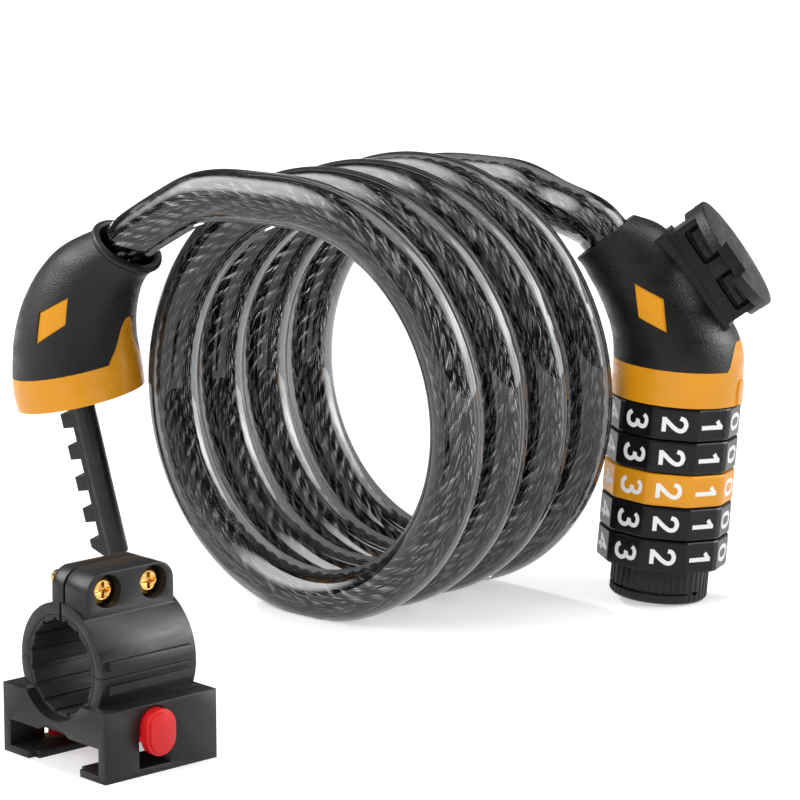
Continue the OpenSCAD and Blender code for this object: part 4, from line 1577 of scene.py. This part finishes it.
    def index_rib(self) -> bpy.types.Object:
        """Rib on the collar that the numerals are lined up with.

        Returns:
            The closed mesh, in the head's frame.
        """
        low, half, r = self.collar_z, self.index_width / 2, self.index_round
        top = low + (self.collar_height - self.index_drop) - r
        corners = [*arc((half - r, top), r, 0, 90, 6), *arc((r - half, top), r, 90, 180, 6)]
        outline = [(-half, low), (half, low), *corners]
        inner, outer = self.wheel_radius - self.past, self.wheel_radius + self.index_rise
        rib = prism_along_x(outline, inner, outer)
        turn = Matrix.Rotation(math.radians(self.index_turn), 4, "Z")
        return moved(round_edges(rib, self.index_edge), turn)

    @staticmethod
    def polar(radius: float, angle: float) -> Pair:
        """Point at a radius and an angle in degrees."""
        a = math.radians(angle)
        return radius * math.cos(a), radius * math.sin(a)

    def wheel_outline(self, inset: float) -> list[Pair]:
        """Flats with narrow round strips between them.

        Args:
            inset: How far the outline is drawn in.

        Returns:
            The outline, from the middle of the first numeral's flat.
        """
        turn = 360 / self.digits
        half_flat = math.degrees(math.acos(self.flat_radius / self.wheel_radius))
        strip = (turn / 2 - half_flat) / 3
        points: list[Pair] = []
        for k in range(self.digits):
            middle = turn * k + self.index_turn
            for a in (-half_flat, -half_flat / 2, 0, half_flat / 2, half_flat):
                r = (self.flat_radius - inset) / math.cos(math.radians(a))
                points.append(self.polar(r, middle + a))
            for a in (turn / 2 - strip, turn / 2 + strip):
                points.append(self.polar(self.wheel_radius - inset, middle + a))
        return points

    def wheel_low(self, index: int) -> float:
        """Height of a wheel's lower face; the first wheel is next to the collar."""
        base = self.knob_height + self.wheel_gap
        return base + (self.wheel_count - index) * self.wheel_pitch + self.wheel_gap / 2

    def make_wheel(self, index: int) -> bpy.types.Object:
        """One number wheel.

        Args:
            index: Its number, counted from the collar.

        Returns:
            The piece, in the shared frame.
        """
        height = self.wheel_pitch - self.wheel_gap
        rim = [*self.wheel_rim, *((i, height - z) for i, z in reversed(self.wheel_rim))]
        rings: list[Ring] = [[(x, y, z) for x, y in self.wheel_outline(inset)] for inset, z in rim]
        angles = [math.degrees(math.atan2(y, x)) for x, y in self.wheel_outline(0)]
        bore = [self.polar(self.wheel_bore, a) for a in angles]
        rings += [[(x, y, z) for x, y in bore] for z in (height, 0.0)]
        wheel = loft("wheel", rings, closed_path=True)
        depth = self.wheel_bore + self.key_depth
        key = block((0, -self.key_half, -self.past), (depth, self.key_half, height + self.past))
        lift = Matrix.Translation((0, 0, self.wheel_low(index)))
        return moved(carve(wheel, [key]), self.place.matrix() @ lift)

    def make_numerals(self, index: int) -> bpy.types.Object:
        """The numerals of a wheel, lying on their sides on its flats.

        Args:
            index: The wheel's number, counted from the collar.

        Returns:
            The numerals as one piece, in the shared frame.
        """
        middle = self.wheel_low(index) + (self.wheel_pitch - self.wheel_gap) / 2
        parts = []
        for digit in range(self.digits):
            a = math.radians(self.index_turn - 360 / self.digits * digit)
            out = Vector((math.cos(a), math.sin(a), 0))
            top = Vector((-math.sin(a), math.cos(a), 0))
            reading = Vector((0, 0, -1))
            spot = out * (self.flat_radius - self.digit_sink) + Vector((0, 0, middle))
            axes = Matrix((reading, top, out)).transposed().to_4x4()
            parts.append(moved(self.make_digit(digit), Matrix.Translation(spot) @ axes))
        return self.in_place(join("numerals", parts))

    def make_digit(self, digit: int) -> bpy.types.Object:
        """One bold numeral as flat strokes, centred.

        Args:
            digit: The numeral.

        Returns:
            The numeral, upright in X and Y.
        """
        tall, fine = self.digit_height - self.stroke, self.stroke_steps
        low, more = self.stroke_rise
        strokes = []
        for n, stroke in enumerate(NUMERALS[digit]):
            line = np.array(stroke.points, float)
            if stroke.smooth:
                count = fine * (len(line) - 1) + 1
                line = np.array([on_curve(line, k / fine) for k in range(count)])
            line = (line - self.digit_middle) * (tall * self.digit_stretch, tall)
            strokes.append(self.make_stroke(line, low + more * n))
        return join("digit", strokes)

    def make_stroke(self, line: np.ndarray, thickness: float) -> bpy.types.Object:
        """One stroke of a numeral.

        Args:
            line: Points along its flat middle line.
            thickness: How far it stands out.

        Returns:
            The closed mesh.
        """
        ahead = np.gradient(line, axis=0)
        ahead /= np.linalg.norm(ahead, axis=1, keepdims=True)
        aside = np.stack([-ahead[:, 1], ahead[:, 0]], axis=1) * self.stroke / 2
        corners = ((1, 0), (1, thickness), (-1, thickness), (-1, 0))
        rings = [
            [(x + s * u, y + s * v, z) for s, z in corners]
            for (x, y), (u, v) in zip(line, aside)
        ]
        return loft("stroke", rings)

    def make_knob(self) -> bpy.types.Object:
        """Ribbed end knob with a slit part of the way round.

        Returns:
            The piece, in the shared frame.
        """
        r, h, foot, top = self.knob_radius, self.knob_height, self.knob_foot, self.knob_top
        hollow, floor = self.knob_hollow
        profile = [
            (hollow, 0.0),
            *arc((r - foot, foot), foot, -90, 0, 5),
            *arc((r - top, h - top), top, 0, 90, 4),
            (self.barrel_radius, h),
            (self.barrel_radius, floor),
            (hollow, floor),
        ]
        body = carve(lathe("knob", profile, self.knob_sides), [self.slit_tool()])
        row = RibRing(self.ribs, r - self.rib_sink, self.rib_radius, self.rib_foot, h - top)
        coat = self.shop.palette.materials["black_rod"]
        ribs = carve(rib_ring(mesh_piece("ribs", [], []), row, coat), [self.slit_tool()])
        return self.in_place(join("knob", [body, ribs]))

    def slit_tool(self) -> bpy.types.Object:
        """Cutter of the knob's slit: a ring with a part of its turn left out.

        Returns:
            The closed mesh.
        """
        r, (low, high) = self.knob_radius, self.slit
        inner, outer, far = r - self.slit_depth, r + self.clear, 3 * r
        profile = [(inner, low), (outer, low), (outer, high), (inner, high)]
        slit = lathe("slit", profile, self.fine_sides)
        fan = [(0.0, 0.0), *arc((0.0, 0.0), far, *self.slit_ends, self.slit_steps)]
        ends = (low - self.past, high + self.past)
        return carve(slit, [loft("rest", [[(x, y, z) for x, y in fan] for z in ends])])

    def stud_matrix(self) -> Matrix:
        """From the stud's frame to the head's."""
        turn = Matrix.Rotation(math.radians(self.stud_lean), 4, "Y")
        return Matrix.Translation((self.stud_at[0], 0.0, self.stud_at[1])) @ turn

    def make_disc(self) -> bpy.types.Object:
        """The stud's round head with its notch and two legs.

        Returns:
            The piece, in the shared frame.
        """
        low, r, rim = self.stud_height + self.flange, self.disc_radius, self.disc_rim
        high, w, half = low + self.disc_thickness, self.notch_width / 2, self.stud_width / 2
        profile = [
            (0.0, low),
            (r - self.disc_seam, low),
            (r, low + self.disc_seam),
            *arc((r - rim, high - rim), rim, 0, 75, 5),
            *((r * share, high + rise) for share, rise in self.disc_dome),
        ]
        disc = lathe("disc", profile, self.fine_sides)
        notch = ((-w, -r - self.clear, low - self.past), (w, -half, high + self.past))
        carve(disc, [block(*notch)])
        round_edges(disc, self.disc_edge, 2, self.disc_edge_angle)
        legs = [leg for side in (-1, 1) for leg in self.make_leg(side * self.window_at, low)]
        return moved(join("disc", [disc, *legs]), self.place.matrix() @ self.stud_matrix())

    def make_leg(self, x: float, top: float) -> list[bpy.types.Object]:
        """One leg under the disc and its barb.

        Args:
            x: Middle of the leg along the stud.
            top: Height of the disc's lower face.

        Returns:
            The leg and the barb.
        """
        long, low, half = self.leg[0] / 2, top - self.leg[1], self.stud_width / 2
        side, catch = half - self.leg_inset, half - self.barb_inset
        leg = block((x - long, -side, low), (x + long, side, top + self.disc_seam))
        barb = block((x - self.barb_from, -catch, low), (x + long, catch, low + self.barb_height))
        return [round_edges(leg, self.leg_edge, 3), round_edges(barb, self.barb_edge, 3)]

    def window_tool(self, x: float, side: int) -> bpy.types.Object:
        """Cutter of one window, with two round corners, in one side of the block.

        Args:
            x: Middle of the window along the stud.
            side: Side of the block, 1 or -1.

        Returns:
            The closed mesh, in the stud's frame.
        """
        (w, h), r = self.window, self.window_corner
        seam, half = self.stud_height + self.flange, self.stud_width / 2
        low = seam - h
        outline = [
            *arc((x - w / 2 + r, low + r), r, 180, 270, 5),
            *arc((x + w / 2 - r, low + r), r, 270, 360, 5),
            (x + w / 2, seam + self.past),
            (x - w / 2, seam + self.past),
        ]
        floor = half - self.window_depth
        return prism_along_y(outline, *sorted((side * floor, side * self.stud_clear)))

    def make_stud_block(self) -> bpy.types.Object:
        """The stud's block with its flange and four rounded windows, seated on the elbow.

        Returns:
            The piece, in the shared frame.
        """
        long, half, clear = self.stud_length / 2, self.stud_width / 2, self.stud_clear
        seam, (more_x, more_y, skirt_top) = self.stud_height + self.flange, self.skirt
        body = block((-long, -half, self.stud_root), (long, half, seam))
        radius = self.disc_radius - self.disc_seam
        flange = drum(radius, self.stud_height, seam, self.fine_sides)
        sides = [(half, clear), (-clear, -half)]
        carve(flange, [block((-clear, a, 0), (clear, b, clear)) for a, b in sides])
        foot = (-long - more_x, -half - more_y, self.stud_root)
        skirt = block(foot, (long + more_x, half + more_y, skirt_top))
        carve(body, [flange, skirt], Cut.ADD)
        places = [(x * self.window_at, side) for x in (-1, 1) for side in (-1, 1)]
        carve(body, [self.window_tool(x, side) for x, side in places])
        carve(moved(body, self.stud_matrix()), [self.form("stud_seat", self.seat_gap)])
        return self.in_place(round_edges(body, self.stud_edge))

    def build(self) -> None:
        """Make the head."""
        deliver = self.shop.deliver
        deliver(self.make_shell(), "dial_shell", "black_plastic", "lock", ("dial_housing",))
        deliver(self.make_collar(), "dial_band", "orange_plastic", "lock", ("dial_collar",))
        inlays = self.make_inlays()
        deliver(inlays, "dial_inlay_pair", "orange_plastic", "lock", ("dial_inlays",))
        for i in range(1, self.wheel_count + 1):
            tint = "wheel_orange" if i == self.orange_wheel else "wheel_black"
            body, node = f"wheel_{i}", f"number_wheel_{i}"
            wheel = deliver(self.make_wheel(i), f"dial_wheel_{i}", tint, body, (node,))
            shade(wheel, CREASE_ANGLE)
            deliver(self.make_numerals(i), f"numerals_{i}", "white_numeral", body)
        deliver(self.make_knob(), "ribbed_knob", "black_rod", "knob", ("end_knob",))
        deliver(self.make_disc(), "stud_head", "stud_plastic", "lock", ("stud_disc",))
        deliver(self.make_stud_block(), "stud_block", "stud_plastic", "lock", ("stud_base",))


# ---------------------------------------------------------------- repeated and copied shapes


@dataclass(frozen=True)
class RibRing:
    """Upright ribs in a ring: how many, where, how thick and how tall."""

    count: int
    radius: float
    rib_radius: float
    low: float
    high: float


def rib_tree() -> bpy.types.NodeTree:
    """Geometry nodes that stand round ribs in a ring on a piece.

    Returns:
        The tree.
    """
    tree = bpy.data.node_groups.new("rib_ring", "GeometryNodeTree")
    for label, kind in (
        ("Geometry", "Geometry"),
        ("Count", "Int"),
        ("Radius", "Float"),
        ("Rib Radius", "Float"),
        ("Low", "Float"),
        ("High", "Float"),
        ("Material", "Material"),
    ):
        tree.interface.new_socket(label, in_out="INPUT", socket_type="NodeSocket" + kind)
    tree.interface.new_socket("Geometry", in_out="OUTPUT", socket_type="NodeSocketGeometry")
    graph = Graph(tree)
    given, result = graph.add("NodeGroupInput").outputs, graph.add("NodeGroupOutput")
    circle = graph.add("GeometryNodeMeshCircle")
    graph.feed(circle, Vertices=given["Count"], Radius=given["Radius"])
    height = graph.math("SUBTRACT", given["High"], given["Low"])
    rib = graph.add("GeometryNodeMeshCylinder")
    graph.feed(rib, Vertices=RIB_SIDES, Radius=given["Rib Radius"], Depth=height)
    stand = graph.add("GeometryNodeInstanceOnPoints")
    graph.feed(stand, Points=circle.outputs["Mesh"], Instance=rib.outputs["Mesh"])
    middle = graph.math("MULTIPLY", graph.math("ADD", given["High"], given["Low"]), 0.5)
    offset = graph.feed(graph.add("ShaderNodeCombineXYZ"), Z=middle)
    lift = graph.add("GeometryNodeTranslateInstances")
    graph.feed(lift, Instances=stand.outputs["Instances"], Translation=offset.outputs[0])
    both = graph.add("GeometryNodeJoinGeometry")
    for part in (given["Geometry"], lift.outputs["Instances"]):
        graph.feed(both, Geometry=part)
    real = graph.add("GeometryNodeRealizeInstances")
    graph.feed(real, Geometry=both.outputs["Geometry"])
    coat = graph.add("GeometryNodeSetMaterial")
    graph.feed(coat, Geometry=real.outputs["Geometry"], Material=given["Material"])
    graph.feed(result, Geometry=coat.outputs["Geometry"])
    return tree


def rib_ring(
    piece: bpy.types.Object, ribs: RibRing, material: bpy.types.Material
) -> bpy.types.Object:
    """Stand a ring of ribs on a piece.

    Args:
        piece: The piece.
        ribs: Sizes of the ring.
        material: Material of the piece and its ribs.

    Returns:
        The same piece, with the ribs in its mesh.
    """
    tree = bpy.data.node_groups.get("rib_ring") or rib_tree()
    step = piece.modifiers.new("ribs", "NODES")
    step.node_group = tree
    values = {
        "Count": ribs.count,
        "Radius": ribs.radius,
        "Rib Radius": ribs.rib_radius,
        "Low": ribs.low,
        "High": ribs.high,
        "Material": material,
    }
    for item in tree.interface.items_tree:
        if item.in_out == "INPUT" and item.name in values:
            step[item.identifier] = values[item.name]
    return bake_modifiers(piece)


def softened_copy(node: str, width: float) -> bpy.types.Object:
    """Copy a CAD node's mesh and round its edges.

    Args:
        node: Name of the CAD node.
        width: Width of the rounded edges in millimetres.

    Returns:
        The copy, in the shared frame's metres.
    """
    mesh = FRAME["nodes"][node].data.copy()
    piece = bpy.data.objects.new(node + "_copy", mesh)
    bpy.context.scene.collection.objects.link(piece)
    if mesh.has_custom_normals:
        bpy.context.view_layer.objects.active = piece
        piece.select_set(True)
        bpy.ops.mesh.customdata_custom_splitnormals_clear()
        piece.select_set(False)

    def change(work: bmesh.types.BMesh) -> None:
        """Merge the loose triangles and the flat faces among them."""
        bmesh.ops.remove_doubles(work, verts=work.verts, dist=CAD_WELD)
        bmesh.ops.dissolve_limit(work, angle_limit=CAD_FLAT, verts=work.verts, edges=work.edges)

    edit(piece, change)
    return round_edges(piece, width * MM)


@dataclass
class Bracket:
    """Tube bracket: foot, jaws, liner, screws and release button."""

    shop: Workshop
    mould_edge: float = 0.35
    fine_edge: float = 0.12
    button_edge: float = 0.3

    def build(self) -> None:
        """Make the bracket from its construction, with moulded edges."""
        for node, name, finish, width, body in (
            ("bracket_foot", "bracket_base", "bracket_plastic", self.mould_edge, "bracket"),
            ("clamp_jaw_left", "jaw_left", "bracket_plastic", self.mould_edge, "bracket"),
            ("clamp_jaw_right", "jaw_right", "bracket_plastic", self.mould_edge, "bracket"),
            ("tube_liner", "liner", "liner_rubber", self.fine_edge, "bracket"),
            ("clamp_screws", "brass_screws", "brass", self.fine_edge, "bracket"),
            ("release_button", "red_button", "red_plastic", self.button_edge, "button"),
        ):
            self.shop.deliver(softened_copy(node, width), name, finish, body, (node,))


# ---------------------------------------------------------------- stage


@dataclass(frozen=True)
class Viewpoint:
    """The camera: where it looks from and how long its lens is."""

    azimuth: float = 39.5
    elevation: float = 11.7
    distance: float = 0.9
    target: Point = (0.00567, 0.04761, 0.0463)
    lens: float = 174.15
    near: float = 0.01

    def build(self) -> None:
        """Make the camera."""
        a, e = math.radians(self.azimuth), math.radians(self.elevation)
        back = Vector((math.sin(a) * math.cos(e), -math.cos(a) * math.cos(e), math.sin(e)))
        camera = bpy.data.objects.new("camera", bpy.data.cameras.new("camera"))
        camera.data.lens = self.lens
        camera.data.clip_start = self.near
        camera.location = Vector(self.target) + back * self.distance
        camera.rotation_euler = (-back).to_track_quat("-Z", "Y").to_euler()
        bpy.context.scene.collection.objects.link(camera)
        bpy.context.scene.camera = camera

    def direction(self, right: float, behind: float, up: float) -> Vector:
        """Direction named as the camera sees it.

        Args:
            right: Its share to the right.
            behind: Its share away from the camera.
            up: Its share upwards.

        Returns:
            The direction in the shared frame, one long.
        """
        a = math.radians(self.azimuth)
        across = Vector((math.cos(a), math.sin(a), 0))
        away = Vector((-math.sin(a), math.cos(a), 0))
        return (across * right + away * behind + Vector((0, 0, up))).normalized()


@dataclass(frozen=True)
class Lamp:
    """A soft far lamp: where it shines from, its spread in degrees and its strength."""

    name: str
    way: Point
    spread: float
    power: float

    def build(self, view: Viewpoint) -> None:
        """Make the lamp.

        Args:
            view: The camera, whose right, away and up the lamp's direction is given in.
        """
        lamp = bpy.data.lights.new(self.name, "SUN")
        lamp.angle = math.radians(self.spread)
        lamp.energy = self.power
        sun = bpy.data.objects.new(self.name, lamp)
        way = view.direction(*self.way)
        sun.location = Vector(view.target) + way
        sun.rotation_euler = way.to_track_quat("Z", "Y").to_euler()
        sun.visible_glossy = False
        bpy.context.scene.collection.objects.link(sun)


@dataclass(frozen=True)
class Panel:
    """A soft bright zone of the studio: its direction, where it fades and how bright it is."""

    way: Point
    rim: float
    core: float
    power: float


@dataclass(frozen=True)
class Studio:
    """Pale floor, soft lamps and a plain world."""

    lamps: tuple[Lamp, ...] = (
        Lamp("key", (-0.62, 0.78, 0.55), 9.0, 1.7),
        Lamp("front", (-0.8, -0.95, 1.0), 35.0, 1.25),
        Lamp("right", (1.0, -0.45, 0.7), 35.0, 0.85),
    )
    floor_half: float = 6.0
    floor_colour: Colour = (0.86, 0.86, 0.86)
    floor_roughness: float = 0.9
    floor_glow: float = 0.48
    fill: float = 0.45
    room: float = 0.14
    panels: tuple[Panel, ...] = (
        Panel((1.0, 0.14, 0.2), 0.9, 0.95, 6.0),
        Panel((0.85, 0.14, 0.6), 0.9, 0.95, 6.0),
        Panel((0.35, 0.2, 1.0), 0.93, 0.98, 3.5),
        Panel((-0.75, 0.1, 0.65), 0.86, 0.96, 9.0),
        Panel((-1.0, -0.3, 0.35), 0.93, 0.98, 1.5),
        Panel((-0.5, -0.75, 0.55), 0.8, 0.97, 0.7),
    )

    def build_floor(self) -> None:
        """The floor, which keeps the lock's shadow."""
        h = self.floor_half
        corners = [(-h, -h, 0), (h, -h, 0), (h, h, 0), (-h, h, 0)]
        floor = mesh_piece("floor", corners, [(0, 1, 2, 3)])
        material = bpy.data.materials.new("floor")
        material.use_nodes = True
        graph = Graph(material.node_tree)
        path = graph.add("ShaderNodeLightPath").outputs
        seen = graph.math("ADD", path["Is Camera Ray"], path["Is Transmission Ray"])
        seen = graph.math("MINIMUM", graph.math("ADD", seen, path["Is Glossy Ray"]), 1.0)
        graph.feed(
            material.node_tree.nodes["Principled BSDF"],
            Base_Color=(*self.floor_colour, 1.0),
            Roughness=self.floor_roughness,
            Specular_IOR_Level=0.0,
            Emission_Color=(1.0, 1.0, 1.0, 1.0),
            Emission_Strength=graph.math("MULTIPLY", seen, self.floor_glow),
        )
        floor.data.materials.append(material)

    def build_world(self, view: Viewpoint) -> None:
        """White where it is seen straight, a studio of soft panels where it is mirrored.

        Args:
            view: The camera, whose right, away and up the panels' directions are given in.
        """
        world = bpy.data.worlds.new("studio")
        bpy.context.scene.world = world
        world.use_nodes = True
        graph = Graph(world.node_tree)
        way = graph.add("ShaderNodeTexCoord").outputs["Generated"]
        studio: object = self.room
        for panel in self.panels:
            turn = graph.add("ShaderNodeVectorMath", operation="DOT_PRODUCT")
            graph.put(way, turn.inputs[0])
            graph.put(view.direction(*panel.way), turn.inputs[1])
            glow = graph.remap(turn.outputs["Value"], (panel.rim, panel.core, 0.0, panel.power))
            studio = graph.math("ADD", studio, glow)
        path = graph.add("ShaderNodeLightPath").outputs
        diffuse = path["Is Diffuse Ray"]
        bounces = graph.math("ADD", path["Glossy Depth"], path["Diffuse Depth"])
        straight = graph.math("SUBTRACT", 1.0, graph.math("MINIMUM", bounces, 1.0))
        mirrored = graph.math("MULTIPLY", studio, graph.math("SUBTRACT", 1.0, straight))
        shown = graph.math("ADD", mirrored, straight)
        soft = graph.math("MULTIPLY", diffuse, self.fill)
        sharp = graph.math("MULTIPLY", graph.math("SUBTRACT", 1.0, diffuse), shown)
        graph.feed(
            world.node_tree.nodes["Background"],
            Color=(1.0, 1.0, 1.0, 1.0),
            Strength=graph.math("ADD", soft, sharp),
        )

    def build(self, view: Viewpoint) -> None:
        """Make the stage.

        Args:
            view: The camera that it is arranged for.
        """
        bpy.context.scene.view_settings.view_transform = "Standard"
        self.build_floor()
        self.build_world(view)
        for lamp in self.lamps:
            lamp.build(view)


# ---------------------------------------------------------------- whole lock


def dress_cad_nodes(palette: Palette, record: dict) -> None:
    """Give every CAD node the finish of its slot in the record."""
    for part in record["subparts"]:
        palette.dress(FRAME["nodes"][part["node"]], part["material_slot"])


def corners(box: tuple[Vector, Vector]) -> list[list[float]]:
    """A box's lowest and highest corner as plain lists."""
    return [list(map(float, corner)) for corner in box]


def main() -> None:
    """Build the whole lock and its stage."""
    logging.basicConfig(level=logging.INFO, format="%(message)s")
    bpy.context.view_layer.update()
    view = Viewpoint()
    view.build()
    palette = Palette()
    shop = Workshop(palette)
    dress_cad_nodes(palette, FRAME["record"])
    Cable(shop).build()
    PlugHead(shop).build()
    DialHead(shop).build()
    Bracket(shop).build()
    Studio().build(view)


if __name__ == "__main__":
    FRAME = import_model()
    main()
